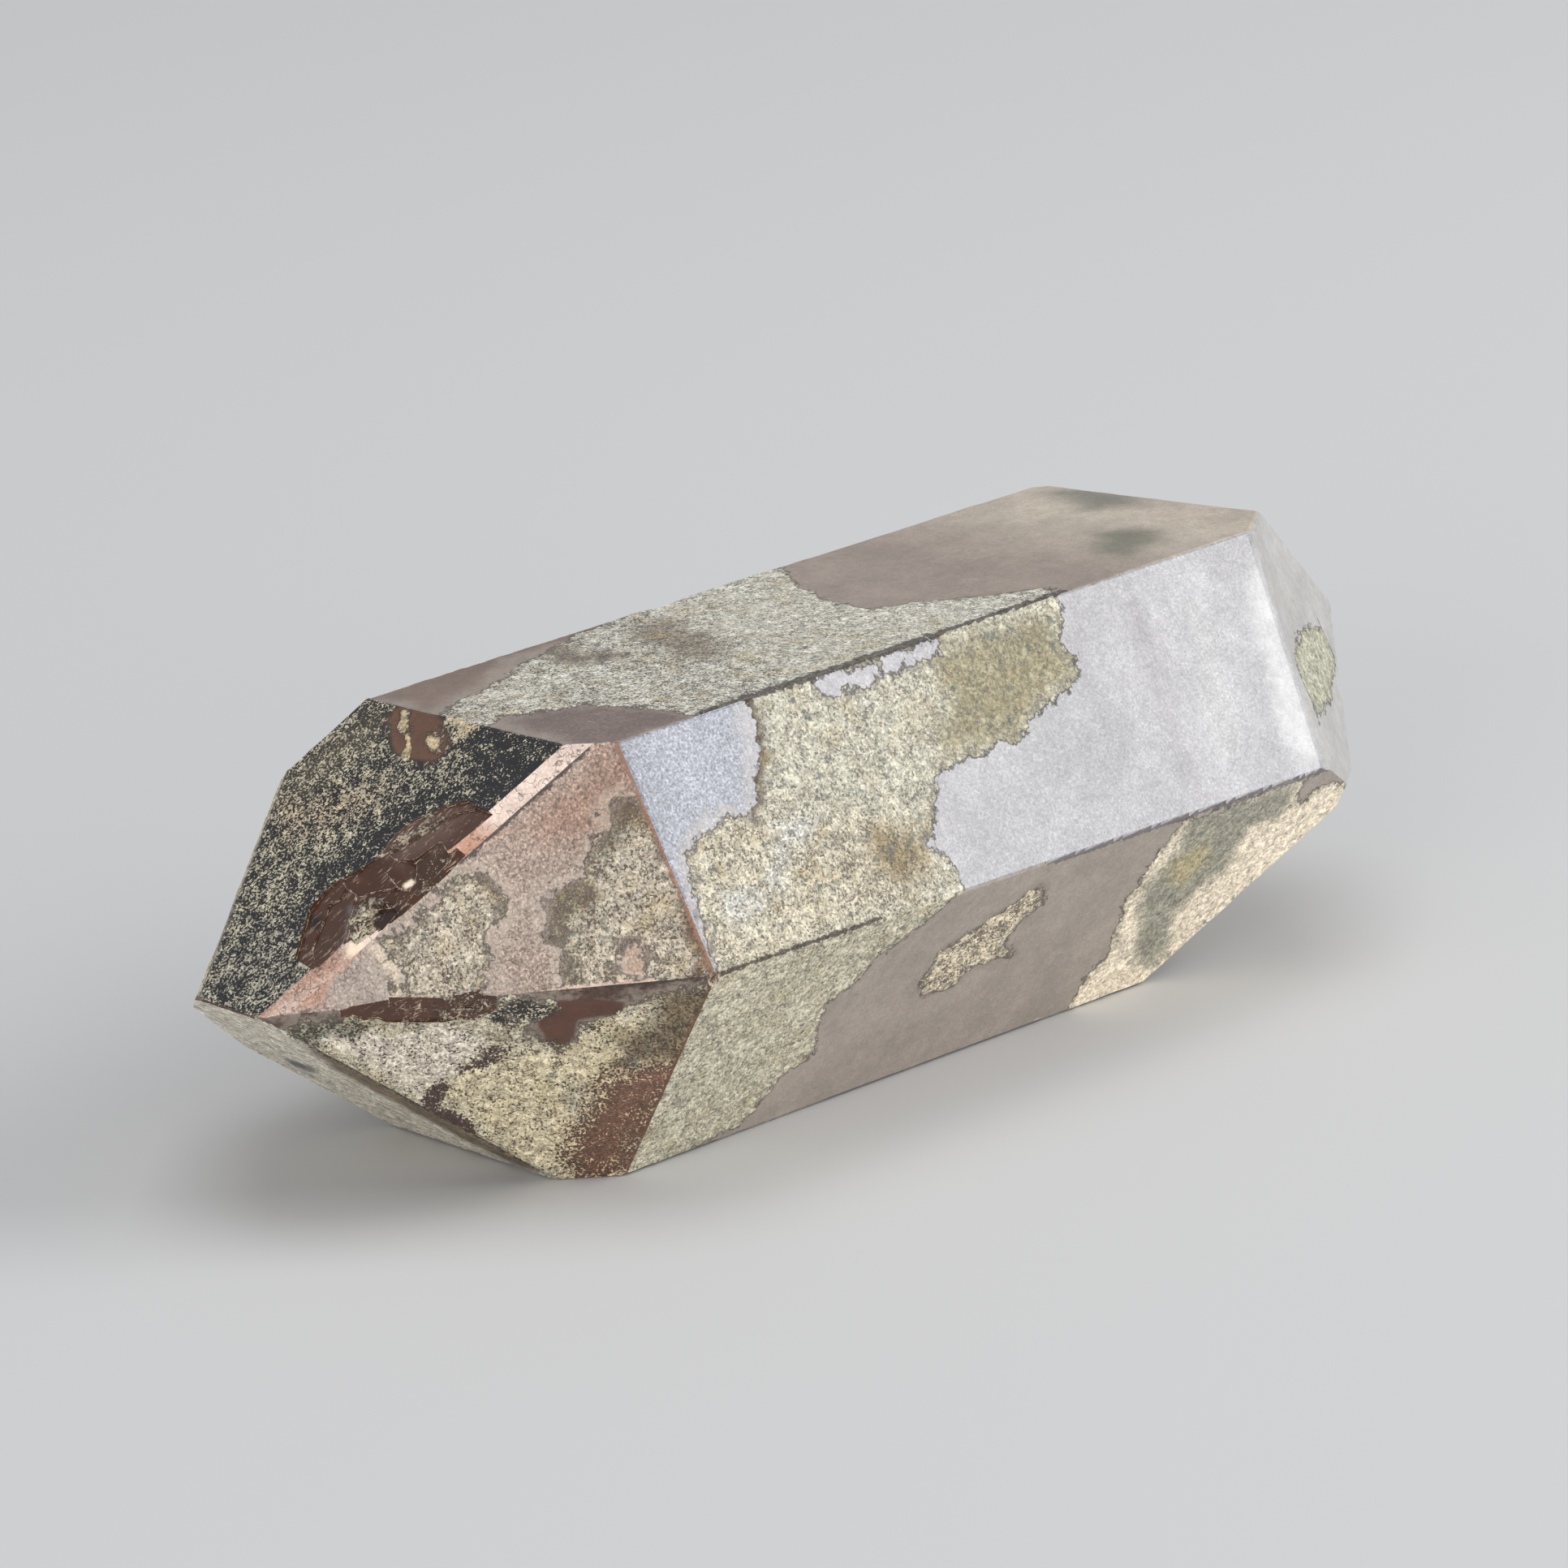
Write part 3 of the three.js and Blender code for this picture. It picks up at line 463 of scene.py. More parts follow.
# Lines along the edges: the face they lie on, the face beyond the edge, where they start and end along the
# crystal, their width and their colour.
EDGE_LINES = [
    ("top", "frontUpper", (-10.5, 8.5), 0.34, DARK_LINE),
    ("frontUpper", "top", (-8.5, 2.0), 0.12, DARK_LINE),
    ("frontUpper", "frontLower", (-14.5, -6.0), 0.14, DARK_LINE),
    ("frontLower", "frontUpper", (-14.5, -6.5), 0.08, DARK_LINE),
    ("frontLower", "frontUpper", (2.0, 18.0), 0.2, (116, 112, 116)),
    ("frontUpper", "nearFrontUpper", (-19, -14.8), 0.1, (206, 208, 220)),
    ("nearFrontUpper", "frontUpper", (-19, -10), 0.18, EDGE_BROWN),
    ("nearFrontUpper", "bright", (-19.6, -15.0), 0.13, DARK_LINE),
    ("nearFrontUpper", "nearFrontLower", (-18.6, -15.6), 0.14, EDGE_BRIGHT),
    ("nearFrontLower", "nearFrontUpper", (-17.5, -13), 0.12, DARK_LINE),
    ("nearFrontLower", "frontLower", (-19, -10), 0.14, (112, 78, 60)),
    ("nearBottom", "nearFrontLower", (-27, -10), 0.16, DARK_LINE),
    ("rearUpper", "top", (-12, 4), 0.2, DARK_LINE),
    ("rearUpper", "rearLower", (-6, 14), 0.2, DARK_LINE),
    ("rearLower", "bottom", (-12, 10), 0.16, DARK_LINE),
]


def paint(colour):
    """A colour given as 0 to 255 on a screen, as the linear values that a shader takes."""
    scaled = [c / 255 for c in colour]
    return (*[c / 12.92 if c <= 0.04045 else ((c + 0.055) / 1.055) ** 2.4 for c in scaled], 1.0)


def normal_of(turn, lean):
    """The outward normal of a face, from its turn and lean."""
    turned, leaning = math.radians(turn), math.radians(lean)
    across = math.cos(leaning)
    return np.array([math.sin(leaning), math.sin(turned) * across, math.cos(turned) * across])


def place_camera():
    """The camera at the photograph's viewing angle."""
    azimuth, elevation, roll = (math.radians(a) for a in (CAMERA_AZIMUTH, CAMERA_ELEVATION, CAMERA_ROLL))
    flat = math.cos(elevation)
    back = Vector((math.sin(azimuth) * flat, -math.cos(azimuth) * flat, math.sin(elevation)))
    right = Vector((math.cos(azimuth), math.sin(azimuth), 0))
    up = back.cross(right)
    turned_right = right * math.cos(roll) + up * math.sin(roll)
    turned_up = up * math.cos(roll) - right * math.sin(roll)
    data = bpy.data.cameras.new("camera")
    data.sensor_width = SENSOR
    data.lens = CAMERA_LENS
    data.clip_start, data.clip_end = CAMERA_REACH
    camera = bpy.data.objects.new("camera", data)
    bpy.context.scene.collection.objects.link(camera)
    turn = Matrix((turned_right, turned_up, back)).transposed()
    camera.matrix_world = Matrix.Translation(Vector(CAMERA_AT) * MM) @ turn.to_4x4()
    bpy.context.scene.camera = camera


def softbox(name, direction, distance, size, power, colour):
    """A square area light that looks at the crystal from a direction."""
    data = bpy.data.lights.new(name, "AREA")
    data.shape = "SQUARE"
    data.size = size
    data.energy = power
    data.color = colour
    light = bpy.data.objects.new(name, data)
    bpy.context.scene.collection.objects.link(light)
    aim = Vector((0, 0, LIT_HEIGHT * MM))
    light.location = aim + Vector(direction).normalized() * distance
    light.rotation_mode = "QUATERNION"
    light.rotation_quaternion = (light.location - aim).to_track_quat("Z", "Y")


def light_studio():
    """Soft lights and a pale world."""
    world = bpy.data.worlds.new("studio")
    bpy.context.scene.world = world
    world.use_nodes = True
    background = world.node_tree.nodes["Background"]
    background.inputs["Color"].default_value = WORLD_COLOUR
    background.inputs["Strength"].default_value = WORLD_STRENGTH
    for name, values in SOFTBOXES.items():
        softbox(name, **values)
    bpy.context.scene.view_settings.view_transform = "Standard"


def lay_floor():
    """A plain pale floor, a hair below the crystal."""
    bpy.ops.mesh.primitive_plane_add(size=FLOOR_SIZE, location=(0, 0, -FLOOR_DEPTH * MM))
    floor = bpy.context.active_object
    floor.name = "floor"
    material = bpy.data.materials.new("floor")
    material.use_nodes = True
    shader = material.node_tree.nodes["Principled BSDF"]
    shader.inputs["Base Color"].default_value = FLOOR_COLOUR
    shader.inputs["Roughness"].default_value = FLOOR_ROUGHNESS
    floor.data.materials.append(material)


class Nodes:
    """Adds shader nodes to one material and joins them."""

    def __init__(self, tree):
        self.tree = tree
        place = self.node("TexCoord").outputs["Object"]
        self.place = self.node("VectorMath", {0: place, "Scale": 1 / MM}, operation="SCALE").outputs[0]
        self.textures = {name: self.noise(*values) for name, values in TEXTURES.items()}
        self.cell = self.cells(CELL_SCALE)

    def __getitem__(self, name):
        return self.textures[name]

    def node(self, kind, inputs=(), **settings):
        made = self.tree.nodes.new("ShaderNode" + kind)
        for name, value in settings.items():
            setattr(made, name, value)
        pairs = inputs.items() if isinstance(inputs, dict) else enumerate(inputs)
        for key, value in pairs:
            if isinstance(value, bpy.types.NodeSocket):
                self.tree.links.new(value, made.inputs[key])
            elif value is not None:
                made.inputs[key].default_value = value
        return made

    def math(self, operation, *values):
        return self.node("Math", values, operation=operation).outputs[0]

    def times(self, first, second):
        return self.math("MULTIPLY", first, second)

    def wobble(self, value, texture, amount):
        """value with a noise texture's swing added."""
        return self.math("MULTIPLY_ADD", self.math("SUBTRACT", texture, 0.5), amount, value)

    def from_middle(self, texture):
        """How far noise is from its middle. It is near nothing along thin lines."""
        return self.math("ABSOLUTE", self.math("SUBTRACT", texture, 0.5))

    def ramp(self, value, low, high, start=0.0, end=1.0):
        """A smooth rise from start to end as value goes from low to high."""
        inputs = {"Value": value, "From Min": low, "From Max": high, "To Min": start, "To Max": end}
        return self.node("MapRange", inputs, interpolation_type="SMOOTHSTEP").outputs["Result"]

    def mix(self, share, first, second):
        return self.node("Mix", {0: share, 6: first, 7: second}, data_type="RGBA").outputs[2]

    def blend(self, share, first, second):
        return self.node("Mix", {0: share, 2: first, 3: second}, data_type="FLOAT").outputs[0]

    def tint(self, share, strength, colour, towards):
        """The colour taken towards a paint by a share times a strength."""
        return self.mix(self.times(share, strength), colour, paint(towards))

    def scale(self, colour, by):
        return self.node("VectorMath", {0: colour, "Scale": by}, operation="SCALE").outputs[0]

    def shade(self, colour, value, low, high, start, end):
        """The colour made darker or lighter, from start to end times, as value goes from low to high."""
        return self.scale(colour, self.ramp(value, low, high, start, end))

    def number(self, name):
        return self.node("Attribute", attribute_name=name).outputs["Fac"]

    def colour(self, name):
        return self.node("Attribute", attribute_name=name).outputs["Color"]

    def abreast(self, direction, share):
        """The place with a share of its way along a direction taken off, to stretch what is drawn there."""
        along = self.node("VectorMath", {0: self.place, 1: direction}, operation="DOT_PRODUCT")
        back = self.scale(direction, self.times(along.outputs["Value"], -share))
        return self.node("VectorMath", {0: self.place, 1: back}, operation="ADD").outputs[0]

    def noise(self, scale, detail=2.0, roughness=0.5, shift=(0, 0, 0), place=None):
        """Noise of a scale per millimetre, around a half."""
        place = self.node("VectorMath", {0: place or self.place, 1: shift}, operation="ADD").outputs[0]
        inputs = {"Vector": place, "Scale": scale, "Detail": detail, "Roughness": roughness}
        return self.node("TexNoise", inputs).outputs["Fac"]

    def cells(self, scale):
        """A random value for each cell of a scale per millimetre."""
        cells = self.node("TexVoronoi", {"Vector": self.place, "Scale": scale})
        return self.node("SeparateColor", [cells.outputs["Color"]]).outputs[0]


def coat_shape(nodes):
    """How far inside a ragged coat a place lies, how near its border, and the share that grains cover."""
    shore = nodes.wobble(nodes.wobble(nodes.number("coat"), nodes["wide"], 1.2), nodes["ragged"], 0.6)
    gap_below = nodes.ramp(nodes.number("cover"), 0, 1, 0.72, 0.28)
    gap_below = nodes.wobble(gap_below, nodes["clumps"], -0.5)
    border = nodes.ramp(nodes.wobble(shore, nodes["clumps"], 1.2), 0.0, 0.4, 1, 0)
    gap_below = nodes.math("MULTIPLY_ADD", nodes.times(border, nodes.number("pits")), 0.11, gap_below)
    grains = nodes.ramp(nodes.math("SUBTRACT", nodes["fine"], gap_below), -0.02, 0.03)
    coated = nodes.times(nodes.ramp(shore, -0.03, 0.03), grains)
    return shore, border, coated


def coat_colour(nodes, border):
    """The grains' colour: uneven from grain to grain, with warm and white places, pits, cracks and specks."""
    pitted = nodes.number("pits")
    coat = nodes.shade(nodes.colour("grains"), nodes["clumps"], 0.3, 0.7, 0.8, 1.14)
    coat = nodes.shade(coat, nodes.cell, 0, 1, 0.74, 1.26)
    coat = nodes.shade(coat, nodes["ragged"], 0.36, 0.64, 0.82, 1.14)
    warm = nodes.times(nodes.ramp(nodes["warm"], 0.5, 0.68), STRENGTH["warm"])
    coat = nodes.tint(warm, pitted, coat, WARM)
    white = nodes.times(nodes.ramp(nodes["white"], 0.6, 0.72), STRENGTH["white"])
    coat = nodes.tint(white, pitted, coat, WHITE_FROST)
    depth = nodes.times(pitted, nodes.ramp(nodes["clumps"], 0.4, 0.6, 1.3, 0.5))
    coat = nodes.tint(nodes.ramp(nodes["fine"], 0.48, 0.37), depth, coat, PIT)
    crack = nodes.ramp(nodes.from_middle(nodes["cracks"]), 0.008, 0.035, 1, 0)
    crack = nodes.times(crack, nodes.ramp(nodes["wide"], 0.44, 0.58))
    coat = nodes.tint(nodes.times(crack, pitted), STRENGTH["crack"], coat, PIT)
    coat = nodes.tint(nodes.ramp(nodes["specks"], 0.6, 0.67), STRENGTH["speck"], coat, TEAL)
    return nodes.tint(border, STRENGTH["border"], coat, BORDER)


def bare_colour(nodes, shore):
    """The bare quartz: clouded and frosted with painted sparkle, paler beside a coat and dark between its
    grains.
    """
    frosted = nodes.number("frost")
    bare = nodes.shade(nodes.colour("bare"), nodes["clouds"], 0.3, 0.7, 0.9, 1.1)
    bare = nodes.shade(bare, nodes["clumps"], 0.3, 0.7, 0.92, 1.07)
    dark_frost = nodes.times(nodes.ramp(nodes["frost"], 0.49, 0.37), frosted)
    bare = nodes.shade(bare, dark_frost, 0, 1, 1, 0.58)
    bright_frost = nodes.times(nodes.ramp(nodes["frost"], 0.53, 0.64), frosted)
    bare = nodes.shade(bare, bright_frost, 0, 1, 1, 1.5)
    # A painted sparkle: on frosted quartz each small cell is painted brighter or darker at random.
    bare = nodes.scale(bare, nodes.blend(frosted, 1.0, nodes.ramp(nodes.cell, 0, 1, 0.8, 1.2)))
    beside = nodes.ramp(nodes.wobble(shore, nodes["clumps"], 1.2), -0.6, -0.05)
    beside = nodes.times(beside, nodes.ramp(shore, 0.3, 0))
    bare = nodes.tint(beside, nodes.ramp(frosted, 0.35, 0.9, 0, STRENGTH["halo"]), bare, HALO)
    gap = nodes.times(nodes.number("pits"), STRENGTH["gap"])
    return nodes.tint(nodes.ramp(shore, 0.0, 0.15), gap, bare, PIT)


def draw_lines(nodes, colour, shore):
    """The colour with dark outlines round the coats, veins, and the lines along edges."""
    outline = nodes.ramp(nodes.math("ABSOLUTE", shore), 0.02, 0.09, STRENGTH["outline"], 0)
    colour = nodes.mix(outline, colour, paint(DARK_LINE))
    vein = nodes.ramp(nodes.from_middle(nodes["veins"]), 0.004, 0.02, 1, 0)
    colour = nodes.tint(nodes.times(vein, nodes.number("veins")), STRENGTH["vein"], colour, VEIN)
    line = nodes.ramp(nodes.wobble(nodes.number("line"), nodes["ragged"], 1.6), 0.42, 0.6)
    return nodes.mix(nodes.times(line, STRENGTH["line"]), colour, nodes.colour("line_tone"))


def chip_lines(nodes):
    """The pale rims of the fresh chips' floors, and the fine steps on them."""
    chipped = nodes.ramp(nodes.number("polish"), 0.7, 0.9)
    steps = nodes.noise(*STEPS, place=nodes.abreast(CHIP_GRAIN, STEPS_STRETCH))
    step = nodes.ramp(nodes.from_middle(steps), 0.004, 0.016, 1, 0)
    step = nodes.times(step, nodes.ramp(nodes["clumps"], 0.43, 0.57))
    rim = nodes.ramp(nodes.wobble(nodes.number("rim"), nodes["fine"], 0.8), 0.72, 0.86)
    rim = nodes.times(rim, nodes.ramp(nodes["ragged"], 0.44, 0.58, 0.15, 1))
    return nodes.math("MAXIMUM", rim, nodes.times(step, nodes.times(chipped, STRENGTH["step"])))


def relief(nodes, coated):
    """The fine relief of the grains and of the frosted quartz."""
    grains = nodes.times(nodes.times(coated, nodes["fine"]), GRAIN_RELIEF)
    height = nodes.math("MULTIPLY_ADD", coated, COAT_RELIEF, grains)
    frost = nodes.times(nodes["frost"], nodes.number("frost"))
    height = nodes.math("ADD", height, nodes.times(frost, FROST_RELIEF))
    return nodes.node("Bump", {"Height": height, "Distance": MM, "Strength": RELIEF_STRENGTH}).outputs[0]


def quartz_material():
    """Smoky quartz where it is bare and pale grains where it is coated, in one shader."""
    material = bpy.data.materials.new("smoky_quartz")
    material.use_nodes = True
    tree = material.node_tree
    nodes = Nodes(tree)
    shore, border, coated = coat_shape(nodes)
    rim = chip_lines(nodes)
    covered = nodes.math("MAXIMUM", coated, rim)
    colour = nodes.mix(coated, bare_colour(nodes, shore), coat_colour(nodes, border))
    colour = nodes.tint(rim, STRENGTH["rim"], draw_lines(nodes, colour, shore), STEP_LINE)
    see_through = nodes.times(nodes.number("clear"), nodes.math("SUBTRACT", 1, covered))
    bare_rough = nodes.ramp(nodes.number("polish"), 0, 1, BARE_ROUGHNESS, POLISHED_ROUGHNESS)
    absorption = nodes.node("VolumeAbsorption", {"Color": SMOKE_COLOUR, "Density": SMOKE_DENSITY})
    shader = tree.nodes["Principled BSDF"]
    shader.inputs["IOR"].default_value = QUARTZ_IOR
    tree.links.new(colour, shader.inputs["Base Color"])
    tree.links.new(see_through, shader.inputs["Transmission Weight"])
    tree.links.new(nodes.blend(covered, bare_rough, COAT_ROUGHNESS), shader.inputs["Roughness"])
    tree.links.new(relief(nodes, coated), shader.inputs["Normal"])
    tree.links.new(absorption.outputs[0], tree.nodes["Material Output"].inputs["Volume"])
    return material


def mark_faces(bm):
    """Writes on each of the mesh's faces the number of the flat face that it lies on, or -1: the layer that
    holds them, and the normal and distance of each flat face."""
    mark = bm.faces.layers.int.new("face")
    for face in bm.faces:
        face[mark] = -1
    planes = []
    for number, angles in enumerate(FACES.values()):
        normal = Vector(normal_of(*angles))
        near = [f for f in bm.faces if f.normal.angle(normal, math.inf) < math.radians(FACE_TURN_SLACK)]
        widest = max(near, key=lambda f: f.calc_area())
        middle = widest.calc_center_median()
        planes.append((*widest.normal, middle.dot(widest.normal) / MM))
        for face in near:
            if all(abs((v.co - middle).dot(widest.normal)) < FACE_FLATNESS * MM for v in face.verts):
                face[mark] = number
    return mark, np.array(planes)


def cut_by_grid(bm):
    """Cuts the mesh into triangles along a grid, with no sliver among them."""
    low, high = (np.array(c) / MM for c in cad_box)
    for axis in range(3):
        normal = Vector([float(axis == i) for i in range(3)])
        for place in np.arange(math.ceil(low[axis]) + GRID_START, high[axis], GRID):
            geometry = bm.verts[:] + bm.edges[:] + bm.faces[:]
            bmesh.ops.bisect_plane(bm, geom=geometry, plane_co=normal * (place * MM), plane_no=normal)
    bmesh.ops.remove_doubles(bm, verts=bm.verts, dist=WELD * MM)
    bmesh.ops.triangulate(bm, faces=bm.faces)
    bmesh.ops.dissolve_degenerate(bm, dist=THIN * MM, edges=bm.edges)
    bmesh.ops.triangulate(bm, faces=bm.faces)


def cut_mesh(node):
    """The crystal's mesh, its flat faces whole again and cut along a grid: points, triangles, the number of
    the flat face that each triangle lies on or -1, and the normal and distance of each flat face."""
    bm = bmesh.new()
    bm.from_mesh(node.data)
    bmesh.ops.remove_doubles(bm, verts=bm.verts, dist=SAME_POINT * MM)
    bmesh.ops.dissolve_limit(bm, angle_limit=math.radians(SAME_FACE), verts=bm.verts, edges=bm.edges)
    mark, planes = mark_faces(bm)
    cut_by_grid(bm)
    bm.verts.index_update()
    points = np.array([v.co for v in bm.verts]) / MM
    triangles = np.array([[v.index for v in f.verts] for f in bm.faces])
    numbers = np.array([f[mark] for f in bm.faces])
    bm.free()
    return points, triangles, numbers, planes


def split(triangles, numbers, cut):
    """The triangles with their cut edges halved. cut has the new point of each edge, or -1."""
    made, owners = [], []
    count = (cut >= 0).sum(axis=1)

    def keep(chosen, *corner_sets):
        for corners in corner_sets:
            made.append(np.stack(corners, axis=1))
            owners.append(numbers[chosen])

    none = count == 0
    keep(none, triangles[none].T)
    for turn in range(3):
        a, b, c = np.roll(triangles, -turn, axis=1).T
        ab, bc, ca = np.roll(cut, -turn, axis=1).T
        one = (count == 1) & (ab >= 0)
        keep(one, (a[one], ab[one], c[one]), (ab[one], b[one], c[one]))
        two = (count == 2) & (ab < 0)
        keep(two, (c[two], ca[two], bc[two]), (ca[two], a[two], b[two]), (ca[two], b[two], bc[two]))
    every = count == 3
    a, b, c = triangles[every].T
    ab, bc, ca = cut[every].T
    keep(every, (a, ab, ca), (ab, b, bc), (bc, c, ca), (ab, bc, ca))
    return np.vstack(made), np.concatenate(owners)


def refine(points, triangles, numbers):
    """Halves every edge longer than its limit, again and again, until none is left."""
    fine = [FACE_NAMES.index(name) for name in FINE_FACES]
    while True:
        ends = np.sort(triangles[:, [[0, 1], [1, 2], [2, 0]]], axis=2)
        pairs, which = np.unique(ends.reshape(-1, 2), axis=0, return_inverse=True)
        which = which.reshape(-1, 3)
        fresh = (numbers < 0) & (points[triangles].mean(axis=1)[:, 0] < FRESH_CHIPS_BELOW_X)
        limit = np.full(len(pairs), EDGE_LIMIT)
        limit[which[np.isin(numbers, fine)].ravel()] = FINE_EDGE_LIMIT
        limit[which[fresh].ravel()] = CHIP_EDGE_LIMIT
        long = np.linalg.norm(points[pairs[:, 0]] - points[pairs[:, 1]], axis=1) > limit
        if not long.any():
            return points, triangles, numbers
        middle = np.full(len(pairs), -1)
        middle[long] = len(points) + np.arange(long.sum())
        points = np.vstack([points, points[pairs[long]].mean(axis=1)])
        triangles, numbers = split(triangles, numbers, middle[which])


def inside_by(points, outline):
    """How far each flat point lies inside a closed outline: less than nothing outside it."""
    ahead = np.roll(outline, -1, axis=0)
    best = np.full(len(points), np.inf)
    inside = np.zeros(len(points), bool)
    for a, b in zip(outline, ahead):
        side = b - a
        share = np.clip((points - a) @ side / (side @ side), 0, 1)
        best = np.minimum(best, np.linalg.norm(points - a - share[:, None] * side, axis=1))
        spans = (a[1] > points[:, 1]) != (b[1] > points[:, 1])
        if spans.any():
            crossing = a[0] + (points[:, 1] - a[1]) / (b[1] - a[1]) * (b[0] - a[0])
            inside ^= spans & (points[:, 0] < crossing)
    return np.where(inside, best, -best)


def slow_noise(points, size, shift):
    """Smooth noise at each point, about from -1 to 1, with lumps of a size in millimetres."""
    return np.array([noise.fractal(Vector(p) / size + Vector(shift), *NOISE_LAYERS) for p in points])


def bright_normal(planes):
    """The outward normal of the worn edge of the near point."""
    between = BRIGHT_SHARES @ planes[[FACE_NAMES.index(name) for name in BRIGHT_EDGE], :3]
    return between / np.linalg.norm(between)


def whose(points, triangles, numbers, planes):
    """The look of each triangle, as its number in LOOK_NAMES."""
    looks = numbers.copy()
    loose = numbers < 0
    middles = points[triangles[loose]].mean(axis=1)
    sides = np.cross(points[triangles[loose, 1]] - points[triangles[loose, 0]],
                     points[triangles[loose, 2]] - points[triangles[loose, 0]])
    sides /= np.linalg.norm(sides, axis=1)[:, None]
    gaps = planes[:, 3] - middles @ planes[:, :3].T
    nearest = gaps.argmin(axis=1)
    pair = [FACE_NAMES.index(name) for name in BRIGHT_EDGE]
    close = (gaps[:, pair] < BRIGHT_EDGE_DEPTH).all(axis=1)
    bright = (sides @ bright_normal(planes) > math.cos(math.radians(BRIGHT_TURN_SLACK))) & close
    # A narrow worn edge lies close to two faces at once and takes the look of the nearer one.
    second = np.sort(gaps, axis=1)[:, 1]
    least, most = EDGE_COSINES
    turns = [np.linalg.norm(sides - (a + b) / np.linalg.norm(a + b), axis=1)
             for i, a in enumerate(planes[:, :3]) for b in planes[:i, :3] if least < a @ b < most]
    worn = (np.min(turns, axis=0) < WORN_TURN_SLACK) & (second < WORN_EDGE_DEPTH)
    fresh = (middles[:, 0] < FRESH_CHIPS_BELOW_X) & ~worn
    looks[loose] = np.where(bright, BRIGHT_LOOK, np.where(fresh, CHIP_LOOK, nearest))
    return looks


def row(value):
    """A number, or a colour as a shader takes it, as one row."""
    return np.array(paint(value) if isinstance(value, tuple) else [value], float)


def lay_patch(item, spots, axes, wobble, values):
    """Changes the values of a look where a patch lies."""
    depth = inside_by(spots[:, axes], item["outline"])
    if item["coat"] > 0:
        values["coat"] = np.maximum(values["coat"], depth[:, None])
    elif item["coat"] < 0:
        values["coat"] = np.minimum(values["coat"], -depth[:, None])
    soft = item["soft"]
    share = np.clip((depth + wobble * min(1, soft * 2)) / soft * 0.5 + 0.5, 0, 1)[:, None]
    share = share * share * (3 - 2 * share)
    for key, value in item["values"].items():
        values[key] += share * (row(value) - values[key])


def draw_edge_line(line, spots, planes, values):
    """Adds one of EDGE_LINES to the values of the look that it lies on."""
    face, beyond, (first, last), width, tone = line
    mine, other = (np.array(planes[name]) for name in (face, beyond))
    slope = math.sqrt(1 - (mine[:3] @ other[:3]) ** 2)
    away = (other[3] - spots @ other[:3]) / slope
    reach = np.clip(np.minimum(spots[:, 0] - first, last - spots[:, 0]) + LINE_END, 0, 1)
    strength = (np.clip(1 - away / (2 * width), 0, 1) * reach)[:, None]
    values["line_tone"] = np.where(strength > values["line"], row(tone), values["line_tone"])
    values["line"] = np.maximum(values["line"], strength)


def dress(points, triangles, looks, planes):
    """The values that the material reads on every corner of every triangle."""
    bright_points = points[triangles[looks == BRIGHT_LOOK]].reshape(-1, 3)
    between = bright_normal(planes)
    by_name = dict(zip(FACE_NAMES, planes), bright=(*between, (bright_points @ between).mean()))
    scattered = slow_noise(points, SCATTER_SIZE, (3, 1, 4)) * SCATTER_SWING + SCATTER_MIDDLE
    uneven = slow_noise(points, UNEVEN_SIZE, (6, 2, 9)) * UNEVEN_SWING
    layers = {key: np.zeros((len(triangles), 3, len(row(value)))) for key, value in PLAIN.items()}
    for number, name in enumerate(LOOK_NAMES):
        chosen = looks == number
        corners = triangles[chosen].ravel()
        spots = points[corners]
        values = {key: np.tile(row(value), (len(spots), 1)) for key, value in LOOKS.get(name, PLAIN).items()}
        if name not in LOOKS:
            values["coat"] = scattered[corners][:, None]
        axes, patches = PATCHES.get(name, (ACROSS, []))
        for item in patches:
            lay_patch(item, spots, axes, uneven[corners], values)
        for line in EDGE_LINES:
            if line[0] == name:
                draw_edge_line(line, spots, by_name, values)
        for key, value in values.items():
            layers[key][chosen] = value.reshape(-1, 3, value.shape[1])
    return layers


def rims(mesh, triangles, looks, count):
    """1 at each point on a sharp step between fresh chips, and nothing elsewhere."""
    sharp = np.zeros(len(mesh.edges), bool)
    layer = mesh.attributes.get("sharp_edge")
    if layer:
        layer.data.foreach_get("value", sharp)
    ends = np.zeros(len(mesh.edges) * 2, int)
    mesh.edges.foreach_get("vertices", ends)
    fresh = np.zeros(count, bool)
    fresh[triangles[looks == CHIP_LOOK].ravel()] = True
    sharp_ends = ends.reshape(-1, 2)[sharp]
    both = sharp_ends[fresh[sharp_ends].all(axis=1)]
    rim = np.zeros(count)
    rim[both.ravel()] = 1
    return rim


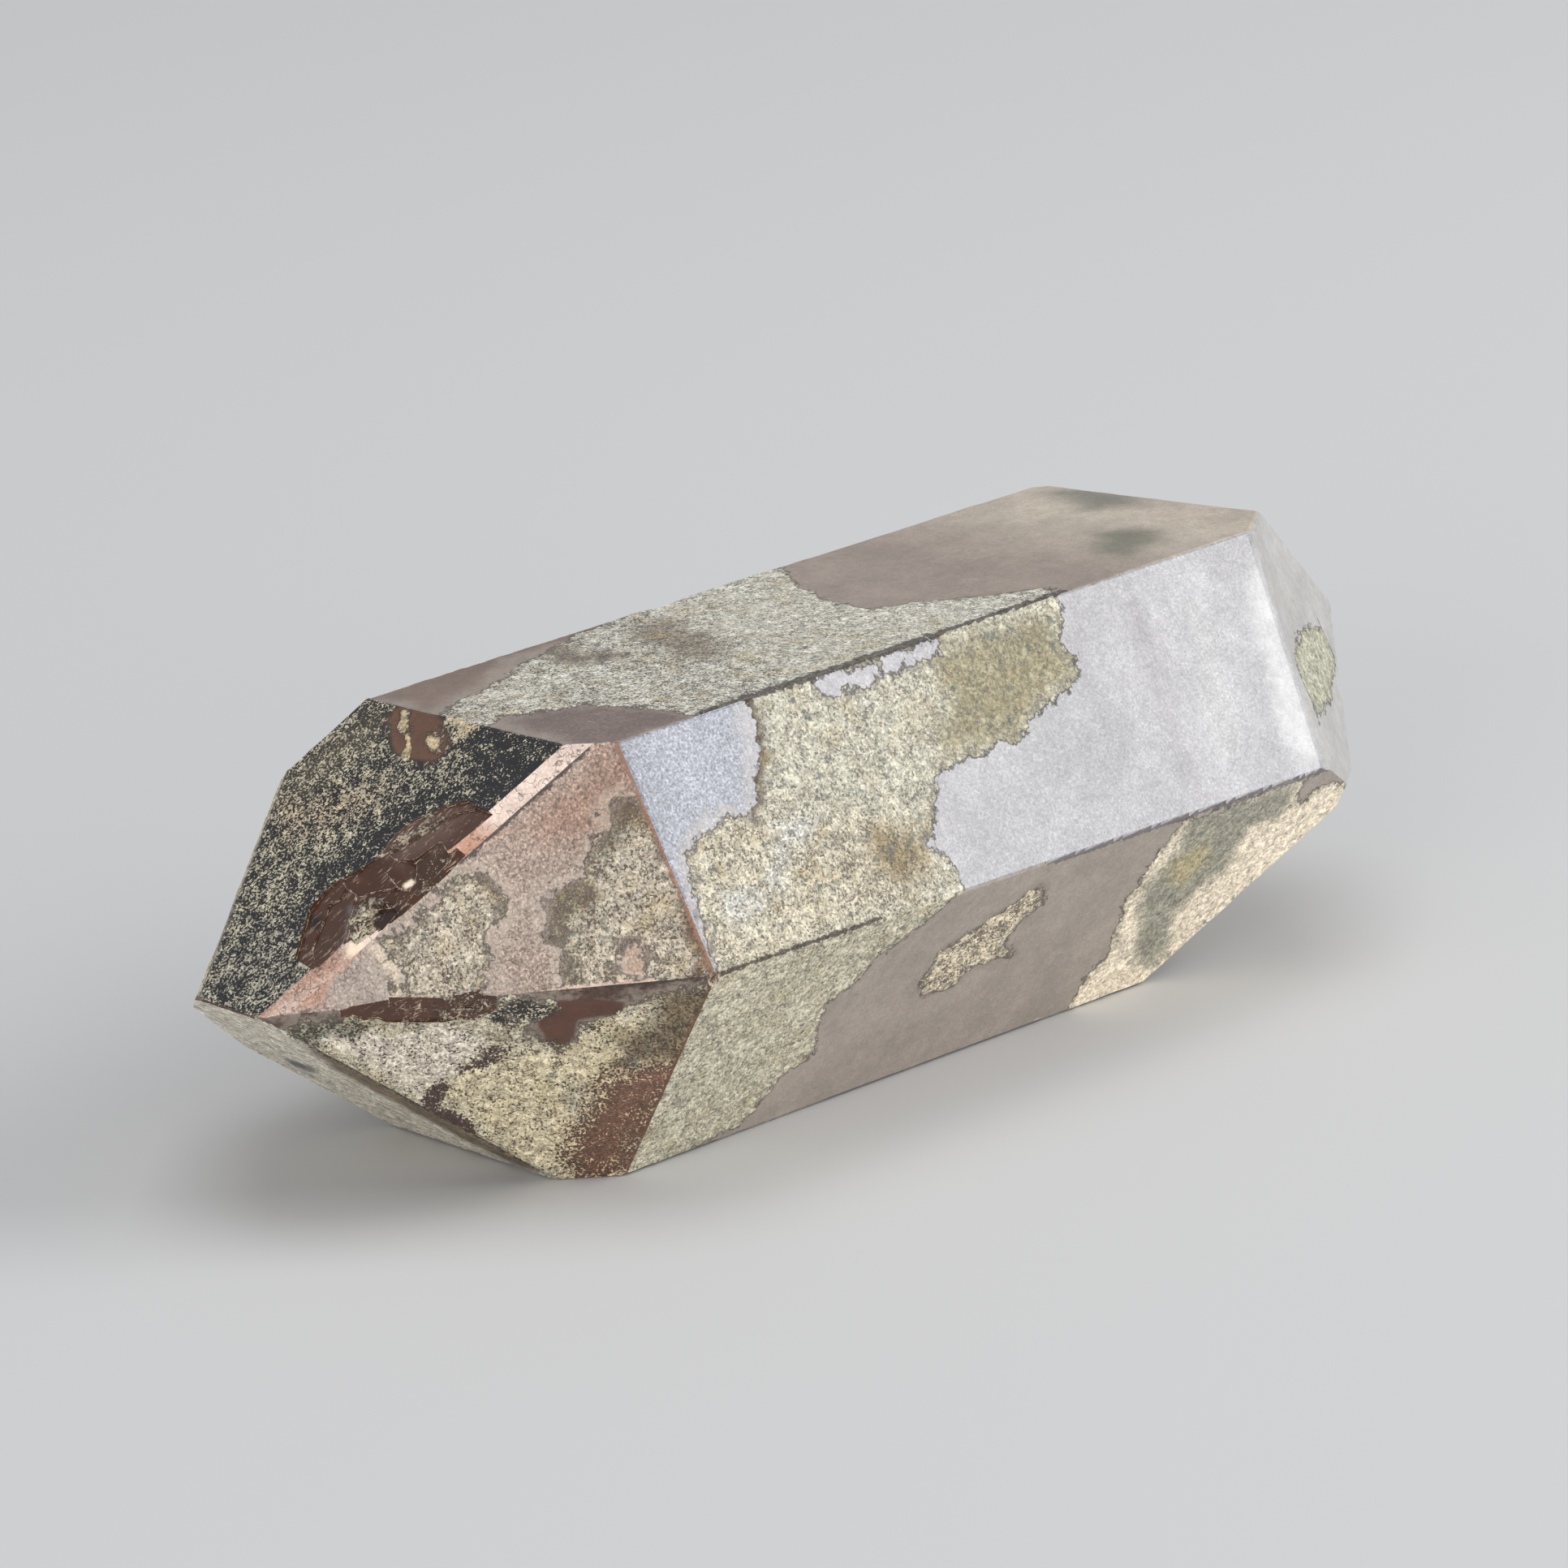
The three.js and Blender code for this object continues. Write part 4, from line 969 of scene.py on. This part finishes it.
def write_layers(mesh, layers):
    """Writes the values onto the corners of the mesh, where the material reads them."""
    for name, values in layers.items():
        kind, field = ("FLOAT_COLOR", "color") if values.shape[-1] == 4 else ("FLOAT", "value")
        layer = mesh.attributes.new(name, kind, "CORNER")
        layer.data.foreach_set(field, values.ravel().astype(np.float32))


def sink(mesh, points, triangles, looks, coats):
    """Moves each point inwards: bare quartz below the coat, the coat by its lumps, fresh chips by ripples."""
    normals = np.zeros(len(points) * 3)
    mesh.vertices.foreach_get("normal", normals)
    normals = normals.reshape(-1, 3)
    coat = np.full(len(points), -np.inf)
    np.maximum.at(coat, triangles.ravel(), coats.ravel())
    share = np.clip(0.5 + coat / COAT_SLOPE, 0, 1)
    lumps = np.clip(slow_noise(points, COAT_LUMP_SIZE, (8, 2, 5)) * 0.5 + 0.5, 0, 1)
    depth = (1 - share) * COAT_THICKNESS + share * lumps * COAT_LUMPS
    chipped = np.zeros(len(points), bool)
    chipped[triangles[looks == CHIP_LOOK].ravel()] = True
    waves = np.sin(np.linalg.norm(points - BLOW_AT, axis=1) * 2 * math.pi / RIPPLE_STEP)
    depth[chipped] = RIPPLE_HEIGHT * (0.5 + 0.5 * waves[chipped])
    moved = points - normals * depth[:, None]
    mesh.vertices.foreach_set("co", (moved * MM).ravel())
    mesh.update()


def make_crystal():
    """The crystal's skin, in place of its plain solid."""
    points, triangles, numbers, planes = cut_mesh(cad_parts["crystal"])
    points, triangles, numbers = refine(points, triangles, numbers)
    looks = whose(points, triangles, numbers, planes)
    layers = dress(points, triangles, looks, planes)
    mesh = bpy.data.meshes.new("crystal_skin")
    mesh.from_pydata(points * MM, [], triangles)
    mesh.shade_smooth()
    mesh.set_sharp_from_angle(angle=math.radians(SHARP_ANGLE))
    rim = rims(mesh, triangles, looks, len(points))
    layers["rim"] = rim[triangles] * (looks == CHIP_LOOK)[:, None]
    write_layers(mesh, layers)
    sink(mesh, points, triangles, looks, layers["coat"])
    mesh.materials.append(quartz_material())

    crystal = bpy.data.objects.new("crystal_skin", mesh)
    bpy.context.scene.collection.objects.link(crystal)
    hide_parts("crystal")
    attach(crystal, "root")


place_camera()
light_studio()
lay_floor()
make_crystal()
